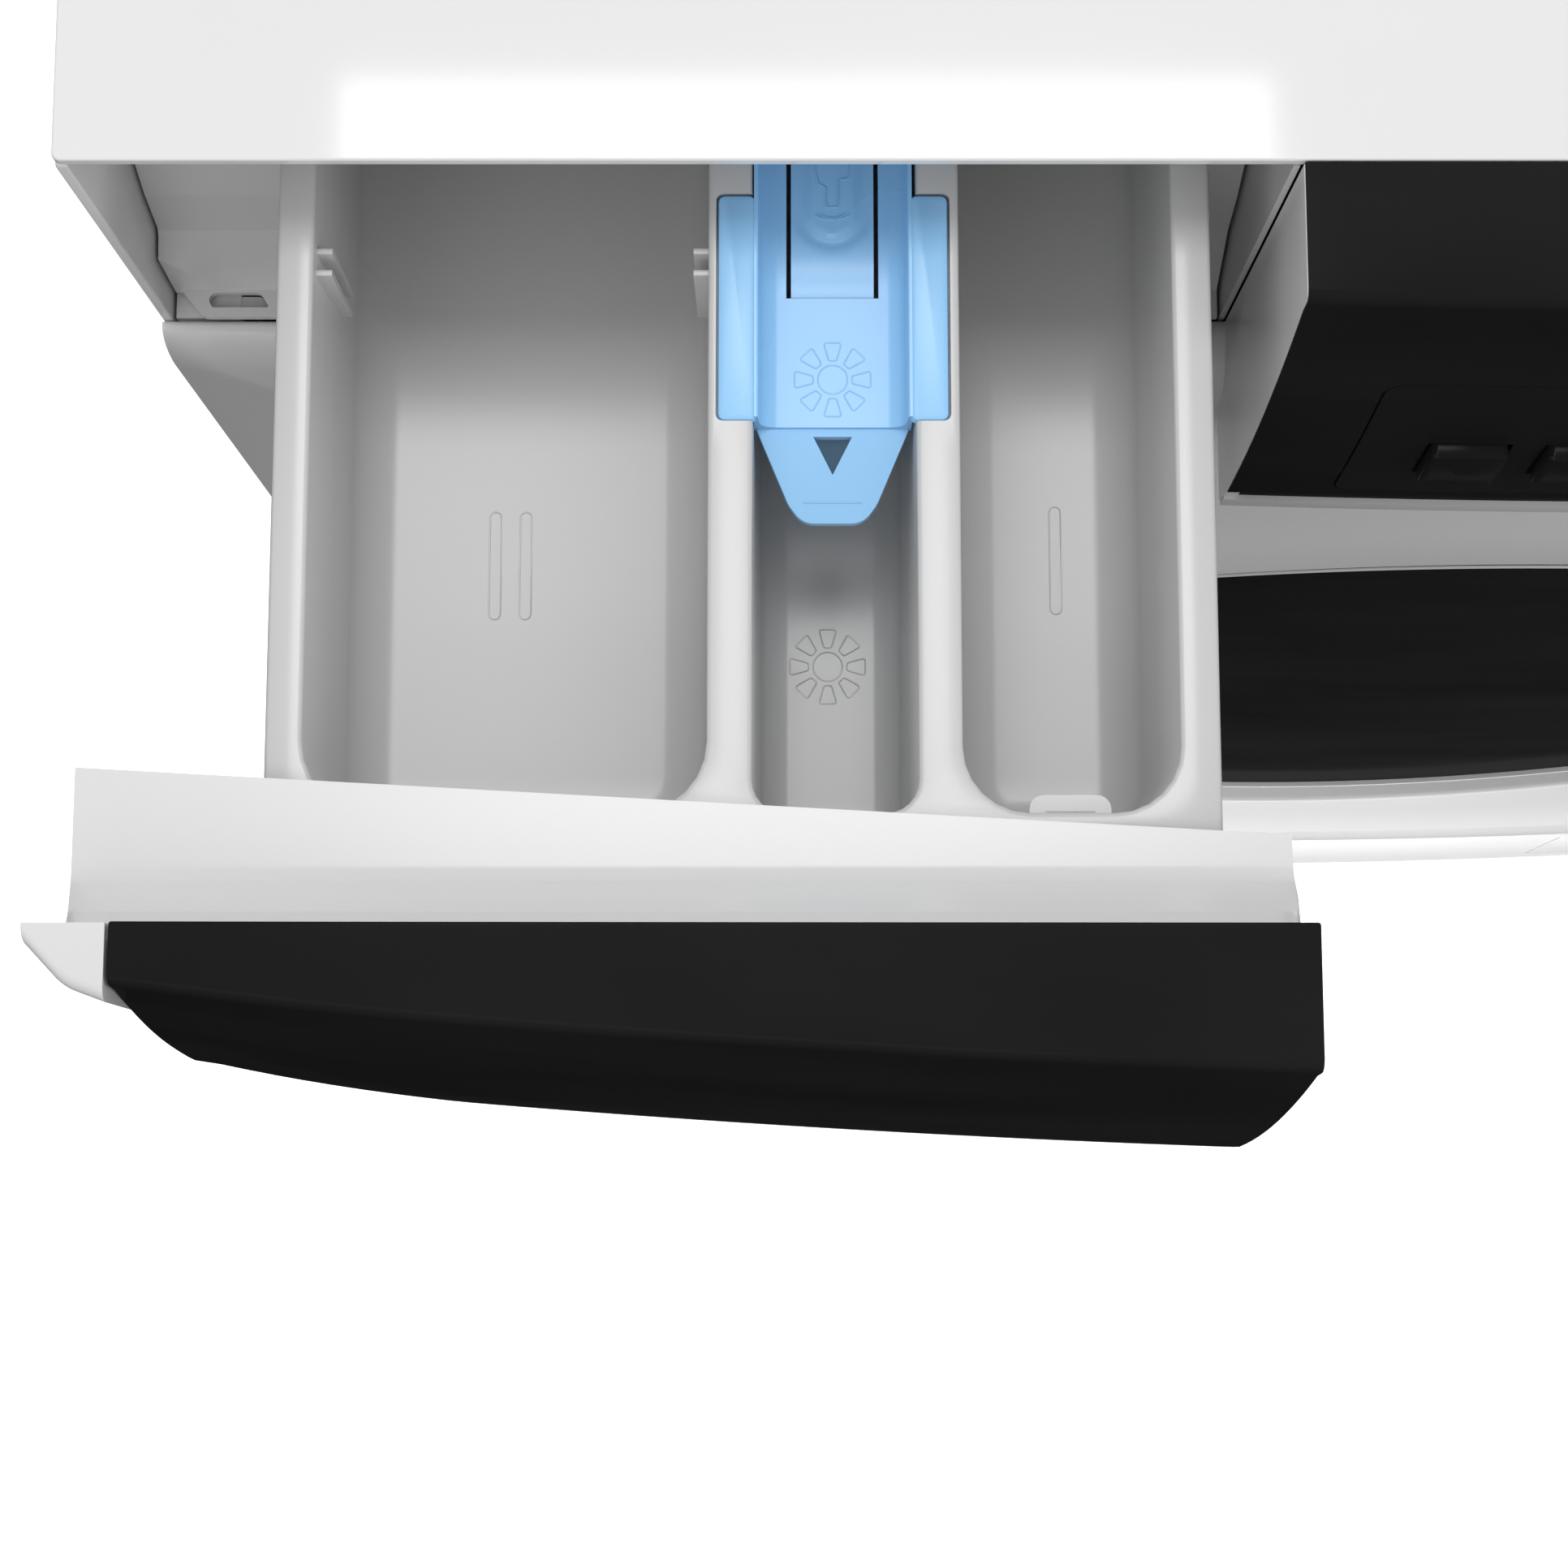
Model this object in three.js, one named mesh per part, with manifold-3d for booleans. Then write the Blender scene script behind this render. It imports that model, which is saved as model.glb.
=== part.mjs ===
// A front load washing machine, 598 mm wide, with its detergent drawer pulled out.
// Millimetres, +Z up, +Y to the back of the machine, X = 0 on the machine's middle plane.
// Pieces are drawn with Y = 0 at the worktop's front edge; the last lines move them all to the
// machine's own origin, on the floor half-way between the open drawer's front and the rear cover.

import * as THREE from 'three';
import { mergeVertices } from 'three/addons/utils/BufferGeometryUtils.js';
import Module from 'manifold-3d';

// ---------------------------------------------------------------- driving dimensions
const HALF_WIDTH = 299;
const TOP_Z = 848;
const ORIGIN_Y = 200; // from the worktop's front edge back to the machine's origin
const GAP = 0.3; // between pieces that touch
const REAR_Y = 547; // outside of the rear panel
const FITTING_Y = 556.9; // furthest back of the rear cover and the rear fittings
const PLATE_SIDE = 2; // thickness of a side panel
const PLATE_FRONT = 1.5; // thickness of the front and rear sheets

const WORKTOP_LIP = 2.2;
const UNDER_LIP_Z = TOP_Z - WORKTOP_LIP;

const FASCIA_BOTTOM_Z = 757;
const FASCIA_BOW = 2900; // radius of the fascia in plan
const FASCIA_CREASE = 20; // from here forward the whole section follows the bow
const SKIN = 2.2;
const END_CAP = 13.3;
const FASCIA_LEFT = -95.4;
const DRAWER_RIGHT = -96.2;
const DRAWER_PULL = 123.7; // how far out the drawer stands

const FRONT_Y = -17; // front panel's face on the middle plane
const FRONT_BOW = 3820;
const FRONT_TOP_Z = 764;
const FRONT_BOTTOM_Z = 100;
const BASE_Z = 16;

const AXIS_Z = 422; // height of the drum, tub and door axis
const DOOR_R = 199;
const DOOR_HOLE_R = 203;
const COVER_R = 186;
const GLASS_R = 143.5;
const SEAL_R = 161.6;
const HINGE_X = -205;
const HINGE_Y = -24;

const TUB_R = 260;
const TUB_WALL = 4;
const TUB_FRONT_Y = 60;
const TUB_SPLIT_Y = 220;
const TUB_REAR_Y = 396;
const TUB_MOUTH_R = 172;
const DRUM_R = 242;
const DRUM_WALL = 2;
const DRUM_FRONT_Y = 70;
const DRUM_REAR_Y = 372;
const DRUM_MOUTH_R = 174;
const SHAFT_R = 15;
const BEARING_R = 31.2;

const PULLEY_Y = 434;
const PULLEY_R = 140;
const MOTOR_X = -165;
const MOTOR_Z = 127;
const MOTOR_R = 68;
const MOTOR_PULLEY_R = 10;
const BELT = 3;
const BELT_GAP = 2; // the pulleys are faceted, so the belt stands a little off them

const SPRING_X = 240;
const SPRING_Y = 262;
const SPRING_LOW_Z = 590;
const SPRING_HIGH_Z = 801;
const DAMPER_X = 170;
const FOOT_X = 255;
const FOOT_Y = [25, 515];

const RIM_Z = 826; // rim of the detergent tray
const TRAY_FRONT_Y = 12; // with the drawer shut
const TRAY_REAR_Y = 214;
const TRAY_X = [-266, -107.6];
const BAY_X = [TRAY_X[0] - 2, TRAY_X[1] + 2];
const SIPHON_X = -171.7;
const WING_X = [-191.2, -152.2]; // the siphon's wings lie flush in pockets in the tray's dividers
const WING_Y = [-37.3, 1.1];
const WING_DEPTH = 2;
const PRESS_TAB_Y = -13.7;

const BUTTON = 14;
const BUTTON_Z = 785.5;
const BUTTON_X = [-56.5, -35.5, -14.5, 6.5];
const KNOB_X = 190;
const KNOB_Z = 792;
const KNOB_R = 24;

// Facets round a circle, by its size.
const FINE = 32;
const MEDIUM = 20;
const COARSE = 12;
const CORNER = 3; // on a rounded corner

// ---------------------------------------------------------------- materials
const material = (color, roughness, metalness = 0) =>
  new THREE.MeshStandardMaterial({ color, roughness, metalness });
const whitePaint = material(0xf4f4f4, 0.35);
const whitePlastic = material(0xededed, 0.42);
const greyPlastic = material(0xb4b6b8, 0.5);
const darkPlastic = material(0x26282a, 0.55);
const blackGloss = material(0x161616, 0.12);
const bluePlastic = material(0x8cc6f6, 0.38);
const steel = material(0xb9bcbf, 0.32, 1);
const aluminium = material(0xc4c6c8, 0.4, 1);
const zincSteel = material(0xa7abad, 0.45, 1);
const castIron = material(0x5a5c5e, 0.7, 0.6);
const rubber = material(0x6d7073, 0.75);
const blackRubber = material(0x1d1d1d, 0.8);
const glass = material(0xdfe8ea, 0.05);
const boardGreen = material(0x1f5c3a, 0.6);

// ---------------------------------------------------------------- solids
const wasm = await Module();
wasm.setup();

/** Merges shared corners, drops slivers and makes the faces point out. */
function weld(source) {
  const bare = source.index ? source.toNonIndexed() : source.clone();
  bare.deleteAttribute('normal');
  bare.deleteAttribute('uv');
  const merged = mergeVertices(bare, 1e-3);
  const corners = merged.getAttribute('position');
  const index = merged.index.array;
  const at = (i) => new THREE.Vector3().fromBufferAttribute(corners, i);
  const kept = [];
  let volume = 0;
  for (let i = 0; i < index.length; i += 3) {
    const [a, b, c] = [index[i], index[i + 1], index[i + 2]];
    if (a === b || b === c || c === a) continue;
    kept.push([a, b, c]);
    volume += at(a).dot(at(b).cross(at(c)));
  }
  const order = volume < 0 ? kept.map(([a, b, c]) => [a, c, b]) : kept;
  merged.setIndex(order.flat());
  return merged;
}

function toSolid(geometry) {
  const closed = weld(geometry);
  return new wasm.Manifold(new wasm.Mesh({
    numProp: 3,
    vertProperties: new Float32Array(closed.getAttribute('position').array),
    triVerts: new Uint32Array(closed.index.array),
  }));
}

function toGeometry(solid) {
  const cut = solid.getMesh();
  const geometry = new THREE.BufferGeometry();
  geometry.setAttribute('position', new THREE.BufferAttribute(new Float32Array(cut.vertProperties), 3));
  geometry.setIndex(new THREE.BufferAttribute(new Uint32Array(cut.triVerts), 1));
  return geometry;
}

/** One solid from a list of geometries, less a list of others. */
function shape(joined, removed = []) {
  let solid = toSolid(joined[0]);
  for (const piece of joined.slice(1)) solid = solid.add(toSolid(piece));
  for (const piece of removed) solid = solid.subtract(toSolid(piece));
  return toGeometry(solid);
}

const common = (a, b) => toGeometry(toSolid(a).intersect(toSolid(b)));

function box(x0, x1, y0, y1, z0, z1) {
  return new THREE.BoxGeometry(x1 - x0, y1 - y0, z1 - z0)
    .translate((x0 + x1) / 2, (y0 + y1) / 2, (z0 + z1) / 2);
}

/** A cylinder along Y. */
const rodY = (r, y0, y1, x, z, sides = COARSE) =>
  new THREE.CylinderGeometry(r, r, y1 - y0, sides).translate(x, (y0 + y1) / 2, z);

/** A cylinder along Z. */
const rodZ = (r, z0, z1, x, y, sides = COARSE) =>
  new THREE.CylinderGeometry(r, r, z1 - z0, sides).rotateX(Math.PI / 2).translate(x, y, (z0 + z1) / 2);

/** A closed outline of [radius, y] points turned about a line along Y. */
function turned(points, sides = FINE, x = 0, z = AXIS_Z) {
  const onAxis = points[0][0] === 0 && points.at(-1)[0] === 0;
  const outline = onAxis ? points : [...points, points[0]];
  return new THREE.LatheGeometry(outline.map(([r, y]) => new THREE.Vector2(r, y)), sides).translate(x, 0, z);
}

const outlineOf = (points) => new THREE.Shape(points.map(([a, b]) => new THREE.Vector2(a, b)));

/** An outline of [y, z] points swept along X. */
function alongX(points, x0, x1, steps = 1) {
  return new THREE.ExtrudeGeometry(outlineOf(points), { depth: x1 - x0, steps, bevelEnabled: false })
    .applyMatrix4(new THREE.Matrix4().set(0, 0, 1, x0, 1, 0, 0, 0, 0, 1, 0, 0, 0, 0, 0, 1));
}

/** A shape drawn in [x, z] swept along Y. */
function alongY(outline, y0, y1) {
  return new THREE.ExtrudeGeometry(outline, { depth: y1 - y0, bevelEnabled: false, curveSegments: CORNER })
    .rotateX(Math.PI / 2).translate(0, y1, 0);
}

/** A shape drawn in [x, y] swept along Z. */
const alongZ = (outline, z0, z1) =>
  new THREE.ExtrudeGeometry(outline, { depth: z1 - z0, bevelEnabled: false, curveSegments: CORNER }).translate(0, 0, z0);

function roundedRectangle(x0, x1, y0, y1, r) {
  const outline = new THREE.Shape();
  outline.moveTo(x0 + r, y0).lineTo(x1 - r, y0).absarc(x1 - r, y0 + r, r, -Math.PI / 2, 0);
  outline.lineTo(x1, y1 - r).absarc(x1 - r, y1 - r, r, 0, Math.PI / 2);
  outline.lineTo(x0 + r, y1).absarc(x0 + r, y1 - r, r, Math.PI / 2, Math.PI);
  outline.lineTo(x0, y0 + r).absarc(x0 + r, y0 + r, r, Math.PI, Math.PI * 1.5);
  return outline;
}

/** Bends a piece to a bow in plan: nothing at Y = 0, all of the bow from `depth` in front of it. */
function bowed(geometry, radius, depth) {
  const position = geometry.getAttribute('position');
  for (let i = 0; i < position.count; i++) {
    const x = position.getX(i);
    const y = position.getY(i);
    const share = THREE.MathUtils.clamp(-y / depth, 0, 1);
    position.setY(i, y + (share * x * x) / (2 * radius));
  }
  return geometry;
}

// ---------------------------------------------------------------- the fascia's section
// [y, z] down the outside of the fascia on the middle plane, from the top's rear edge.
const FASCIA_OUTSIDE = [
  [-GAP, TOP_Z], [-22.6, TOP_Z], [-24, 847.3], [-24.8, 845.8], [-28.2, 828],
  [-31.3, 811], [-33.2, 793], [-34.6, 775], [-35.4, FASCIA_BOTTOM_Z],
];

/** The outside line moved into the body by `depth`, kept clear of the worktop. */
function fasciaLine(depth, rearY = -GAP) {
  const [, ...front] = FASCIA_OUTSIDE;
  const moved = front.slice(2).map(([y, z], i) => [y + depth, i === 0 ? TOP_Z - Math.max(depth, SKIN) : z]);
  return depth === 0 ? FASCIA_OUTSIDE : [[rearY, TOP_Z - depth], ...moved];
}

const fasciaBand = (outer, inner, x0, x1) =>
  bowed(alongX([...fasciaLine(outer), ...fasciaLine(inner).reverse()], x0, x1, 8), FASCIA_BOW, FASCIA_CREASE);

/** Everything behind the fascia line at `depth`, down to `lowZ` and back to `rearY`. */
function fasciaFill(depth, x0, x1, lowZ, rearY = -0.5) {
  const line = fasciaLine(depth, rearY);
  const last = line.at(-1);
  const points = [[rearY, line[0][1]], ...line.slice(1), [last[0], lowZ], [rearY, lowZ]];
  return bowed(alongX(points, x0, x1, 8), FASCIA_BOW, FASCIA_CREASE);
}

/** Room for the front panel's rounded top edge. */
const frontPanelRoom = () => bowed(
  alongX([[FRONT_Y - 1, 730], [4, 730], [4, FRONT_TOP_Z + 0.6], [FRONT_Y - 1, FRONT_TOP_Z + 0.6]],
    -HALF_WIDTH - 1, HALF_WIDTH + 1, 12),
  FRONT_BOW, -FRONT_Y);

/** Place and directions of the fascia's surface at x, z: the local +Z points out of it. */
function onFascia(x, z) {
  const row = FASCIA_OUTSIDE.findIndex(([, rowZ]) => rowZ < z);
  const [y0, z0] = FASCIA_OUTSIDE[row - 1];
  const [y1, z1] = FASCIA_OUTSIDE[row];
  const slope = (y0 - y1) / (z0 - z1);
  const y = y1 + slope * (z - z1) + (x * x) / (2 * FASCIA_BOW);
  const out = new THREE.Vector3(x / FASCIA_BOW, -1, slope).normalize();
  const across = new THREE.Vector3(1, 0, 0).addScaledVector(out, -out.x).normalize();
  const up = new THREE.Vector3().crossVectors(out, across);
  return new THREE.Matrix4().makeBasis(across, up, out).setPosition(x, y, z);
}

const knobPlace = onFascia(KNOB_X, KNOB_Z);
const buttonPlaces = BUTTON_X.map((x) => onFascia(x, BUTTON_Z));

// ---------------------------------------------------------------- assembly
const machine = new THREE.Group();

function add(name, geometry, look, y = 0) {
  const mesh = new THREE.Mesh(weld(geometry), look);
  mesh.name = name;
  mesh.position.y = y;
  machine.add(mesh);
}

// ---------------------------------------------------------------- cabinet
function addCabinet() {
  const board = outlineOf([[-92, 30], [296, 30], [296, 543], [-296, 543], [-296, 245], [-92, 245]]);
  add('worktop', shape([
    box(-HALF_WIDTH, HALF_WIDTH, 0, REAR_Y + 1, UNDER_LIP_Z, TOP_Z), alongZ(board, 833, UNDER_LIP_Z + 1),
  ]), whitePaint);

  for (const [name, side] of [['left_side_panel', -1], ['right_side_panel', 1]]) {
    const wall = side * HALF_WIDTH;
    const inner = side * (HALF_WIDTH - PLATE_SIDE);
    const span = (a, b, ...rest) => box(Math.min(a, b), Math.max(a, b), ...rest);
    add(name, shape([
      span(wall, inner, 0, REAR_Y, BASE_Z, UNDER_LIP_Z - GAP),
      span(wall, side * 279, REAR_Y - PLATE_FRONT, REAR_Y, BASE_Z, UNDER_LIP_Z - GAP),
      span(wall, side * (SPRING_X - 14), SPRING_Y - 10, SPRING_Y + 10, SPRING_HIGH_Z, SPRING_HIGH_Z + 6),
    ]), whitePaint);
  }

  const sheet = roundedRectangle(-278.5, 278.5, BASE_Z, UNDER_LIP_Z - GAP, 1);
  add('rear_panel', shape([alongY(sheet, REAR_Y - PLATE_FRONT, REAR_Y)], [
    rodY(190, 500, 600, 0, 400, MEDIUM),
    rodY(14, 500, 600, -170, 800),
    rodY(10, 500, 600, 200, 800),
    rodY(13, 500, 600, -240, 700),
  ]), whitePaint);
  add('rear_cover', turned([
    [0, FITTING_Y], [170, FITTING_Y], [186, REAR_Y + 1.8], [200, REAR_Y + 1.8], [200, REAR_Y + GAP],
    [184, REAR_Y + GAP], [169, FITTING_Y - 1.5], [0, FITTING_Y - 1.5],
  ], MEDIUM, 0, 400), zincSteel);

  const feetHoles = [-FOOT_X, FOOT_X].flatMap((x) => FOOT_Y.map((y) => rodZ(5.6, 0, 40, x, y)));
  add('base_pan', shape([box(-296.5, 296.5, 0.5, 545, BASE_Z, 40)], [
    box(-293.5, 293.5, 3.5, 542, BASE_Z + 3, 50),
    box(150, 270, -1, 5, 28, 50),
    ...feetHoles,
  ]), greyPlastic);
}

/** The front sheet, rounded back at its top, with the round recess that the door lies in. */
function addFrontPanel() {
  const section = [
    [-0.4, FRONT_TOP_Z], [-9, 763.5], [-14.5, 760], [FRONT_Y, 751], [FRONT_Y, FRONT_BOTTOM_Z],
    [FRONT_Y + PLATE_FRONT, FRONT_BOTTOM_Z], [FRONT_Y + PLATE_FRONT, 750.6], [-13.4, 758.6],
    [-8.8, 762], [-0.4, 762.5],
  ];
  const sheet = bowed(alongX(section, -HALF_WIDTH, HALF_WIDTH, 12), FRONT_BOW, -FRONT_Y);
  const ahead = bowed(alongX([[-80, 0], [FRONT_Y, 0], [FRONT_Y, 800], [-80, 800]],
    -HALF_WIDTH - 1, HALF_WIDTH + 1, 12), FRONT_BOW, 1);
  const dish = turned([
    [DOOR_HOLE_R, -17], [DOOR_HOLE_R + 1.5, -17], [DOOR_HOLE_R + 1.5, 14], [162, 14], [162, 12.5], [DOOR_HOLE_R, 12.5],
  ]);
  add('front_panel', shape([
    shape([sheet], [rodY(DOOR_HOLE_R + 0.5, -40, 5, 0, AXIS_Z, FINE)]),
    shape([dish], [ahead]),
    box(-HALF_WIDTH, -HALF_WIDTH + 1.5, -5, -0.4, FRONT_BOTTOM_Z, 748),
    box(HALF_WIDTH - 1.5, HALF_WIDTH, -5, -0.4, FRONT_BOTTOM_Z, 748),
  ], [box(174, 194, 5, 20, AXIS_Z - 14, AXIS_Z + 14)]), whitePaint);

  const strip = (z0, z1, x0, x1, steps) => bowed(
    alongX([[FRONT_Y, z0], [FRONT_Y + PLATE_FRONT, z0], [FRONT_Y + PLATE_FRONT, z1], [FRONT_Y, z1]], x0, x1, steps),
    FRONT_BOW, -FRONT_Y - PLATE_FRONT);
  add('kick_panel', shape([
    strip(BASE_Z + 1, FRONT_BOTTOM_Z - 0.6, -HALF_WIDTH, HALF_WIDTH, 12),
    box(-HALF_WIDTH, -HALF_WIDTH + 1.5, -5, -0.4, BASE_Z + 1, 96),
    box(HALF_WIDTH - 1.5, HALF_WIDTH, -5, -0.4, BASE_Z + 1, 96),
  ], [box(150, 270, -40, 5, 30, 90)]), whitePaint);
  add('filter_flap', strip(31, 89.4, 150.8, 269.2, 4), whitePaint);
}

// ---------------------------------------------------------------- fascia and its controls
function addFascia() {
  const plateOutline = (grow) => alongY(roundedRectangle(-76.5 - grow, 262 + grow, 766 - grow, 818 + grow, 4), -80, 0);
  const right = HALF_WIDTH - END_CAP;
  const skin = fasciaBand(0, SKIN, FASCIA_LEFT, right - GAP);
  add('fascia_skin', shape([skin], [plateOutline(GAP)]), blackGloss);

  const shaftHole = new THREE.CylinderGeometry(5, 5, 40, COARSE).rotateX(Math.PI / 2).applyMatrix4(knobPlace);
  const buttonHoles = buttonPlaces.map((place) =>
    new THREE.BoxGeometry(BUTTON + 0.8, BUTTON + 0.8, 12).applyMatrix4(place));
  const plate = common(fasciaBand(0, 1.9, -80, 266), plateOutline(0));
  add('control_plate', shape([plate], [shaftHole, ...buttonHoles]), blackGloss);

  const frame = shape([fasciaFill(SKIN + GAP, FASCIA_LEFT, right - GAP, FASCIA_BOTTOM_Z - GAP)],
    [fasciaFill(SKIN + GAP + 2.5, FASCIA_LEFT + 2.5, right - 14, 700, 5)]);
  const lip = shape([fasciaFill(0, FASCIA_LEFT, right, 751.5)],
    [box(-200, 400, -80, 10, FASCIA_BOTTOM_Z - GAP, 900),
      fasciaFill(3.5, FASCIA_LEFT + 2.5, right - 14, 700, 5)]);
  add('fascia_carrier', shape([frame, lip, fasciaFill(0, right, HALF_WIDTH, 751.5)],
    [frontPanelRoom(), box(-70, 250, -80, -12, 770, 814)]), whitePlastic);

  add('control_board', box(-72, 252, -12, -10.4, 768, 817), boardGreen);
  buttonPlaces.forEach((place, i) => {
    const cap = new THREE.BoxGeometry(BUTTON, BUTTON, 4).translate(0, 0, 0.6);
    add(`button_${i + 1}`, cap.applyMatrix4(place), blackGloss);
  });
  const dial = new THREE.LatheGeometry([
    [0, 0.9], [KNOB_R, 0.9], [KNOB_R, 4], [KNOB_R - 2, 15], [KNOB_R - 4, 16.5], [0, 16.5],
  ].map(([r, h]) => new THREE.Vector2(r, h)), MEDIUM).rotateX(Math.PI / 2);
  const stem = new THREE.CylinderGeometry(4, 4, 14, COARSE).rotateX(Math.PI / 2).translate(0, 0, -5.5);
  add('program_knob', toGeometry(toSolid(dial.applyMatrix4(knobPlace))
    .add(toSolid(stem.applyMatrix4(knobPlace)))), greyPlastic);
}

// ---------------------------------------------------------------- detergent drawer and its bay
function addDispenser() {
  const ramp = [
    [0.8, 764.4], [0.8, 766], [5, 766], [5.5, 799], [8, 806], [14, 811], [27, 812.5], [27, 764.4],
  ];
  const shell = box(BAY_X[0] - 4, BAY_X[1] + 4, 26, 235, 764.4, 842);
  add('dispenser_housing', shape([
    alongX(ramp, -296.4, -97), shell, rodZ(16, 748, 766, -185, 180),
  ], [
    box(BAY_X[0], BAY_X[1], -5, 231, 767.2, 838),
    box(-292, -278, 1.8, 4.6, 760, 770),
    rodZ(12, 740, 770, -185, 180),
  ]), whitePlastic);
  add('dispenser_hose', turnedZ([[18, 640], [18, 747.7], [15, 747.7], [15, 640]], -185, 180), blackRubber);
}

/** A closed outline of [radius, z] points turned about an upright line. */
function turnedZ(points, x, y, sides = COARSE) {
  const onAxis = points[0][0] === 0;
  const outline = (onAxis ? points : [...points, points[0]]).map(([r, z]) => new THREE.Vector2(r, z));
  return new THREE.LatheGeometry(outline, sides).rotateX(Math.PI / 2).translate(x, y, 0);
}

function addDrawer() {
  const capRight = -HALF_WIDTH + END_CAP;
  const open = -DRAWER_PULL;
  add('drawer_front_skin', fasciaBand(0, SKIN, capRight + GAP, DRAWER_RIGHT), blackGloss, open);

  const frame = shape([fasciaFill(SKIN + GAP, capRight, DRAWER_RIGHT, FASCIA_BOTTOM_Z - GAP)],
    [fasciaFill(SKIN + GAP + 2.5, capRight + 14, DRAWER_RIGHT - 2.5, 700, 5)]);
  const lip = shape([fasciaFill(0, capRight, DRAWER_RIGHT, 755)],
    [box(-400, 0, -80, 10, FASCIA_BOTTOM_Z - GAP, 900),
      fasciaFill(3.5, capRight + 14, DRAWER_RIGHT - 2.5, 700, 5)]);
  const cove = [
    [-0.5, 845.4], [0.8, 839], [4, 834], [9, 830.5], [16, 829], [24, 828.5],
    [24, 826.4], [16, 826.9], [8, 828.2], [1.5, 832], [-2, 838], [-3, 845.4],
  ];
  const slant = alongZ(outlineOf([[-310, 23.9], [-90, 13.5], [-90, 60], [-310, 60]]), 800, 860);
  add('drawer_front_body', shape([
    frame, lip, fasciaFill(0, -HALF_WIDTH, capRight, 755),
    shape([alongX(cove, -291.5, DRAWER_RIGHT - 0.3)], [slant]),
    box(-291.5, DRAWER_RIGHT - 0.3, -3, -1, 790, 845),
  ], [frontPanelRoom()]), whitePlastic, open);

  const room = (x0, x1, floor, r) =>
    alongZ(roundedRectangle(x0, x1, 20, TRAY_REAR_Y - 5, r), floor, RIM_Z + 5);
  add('drawer_tray', shape([box(...TRAY_X, TRAY_FRONT_Y, TRAY_REAR_Y, 770, RIM_Z)], [
    room(-259.7, -192.8, 776, 9),
    room(-185.5, -157.5, 776, 7),
    room(-150.4, -114.4, 776, 9),
    box(-250, -202, 200, 230, 786, 840),
    box(-144, -121, 200, 230, 786, 840),
    box(WING_X[0] - GAP, WING_X[1] + GAP, WING_Y[0] - GAP + DRAWER_PULL, WING_Y[1] + GAP + DRAWER_PULL,
      RIM_Z - WING_DEPTH - GAP, 840),
  ]), whitePlastic, open);
}

/** The siphon cover that rests on the tray's two dividers, with its springy press tab. */
function addSiphon() {
  const wing = (x0, x1) => box(x0, x1, ...WING_Y, RIM_Z - WING_DEPTH, RIM_Z);
  const half = 13.4;
  const tongue = new THREE.Shape();
  tongue.moveTo(SIPHON_X - half, -37).lineTo(SIPHON_X - 7.5, -50);
  tongue.absarc(SIPHON_X, -48.1, 7.5, Math.PI, 2 * Math.PI);
  tongue.lineTo(SIPHON_X + half, -37);
  const arrow = new THREE.Path();
  arrow.moveTo(SIPHON_X - 3, -40.2).lineTo(SIPHON_X, -45.6).lineTo(SIPHON_X + 3, -40.2);
  tongue.holes.push(arrow);
  add('siphon_insert', shape([
    wing(WING_X[0], SIPHON_X - half + 2), wing(SIPHON_X + half - 2, WING_X[1]),
    box(SIPHON_X - half, SIPHON_X + half, WING_Y[0], 62, 816, RIM_Z),
    alongZ(tongue, 816, 819),
    rodZ(8, 781, 817, SIPHON_X, -27),
  ], [
    box(SIPHON_X - half + 2, SIPHON_X + half - 2, -40, 70, 819, 840),
    box(SIPHON_X - 7.9, SIPHON_X + 7.9, PRESS_TAB_Y - GAP, 70, 800, 830),
  ]), bluePlastic);
  add('siphon_press_tab', shape([
    box(SIPHON_X - 7.1, SIPHON_X + 7.1, PRESS_TAB_Y, 58, 816.4, 819),
  ]), bluePlastic);
}

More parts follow.
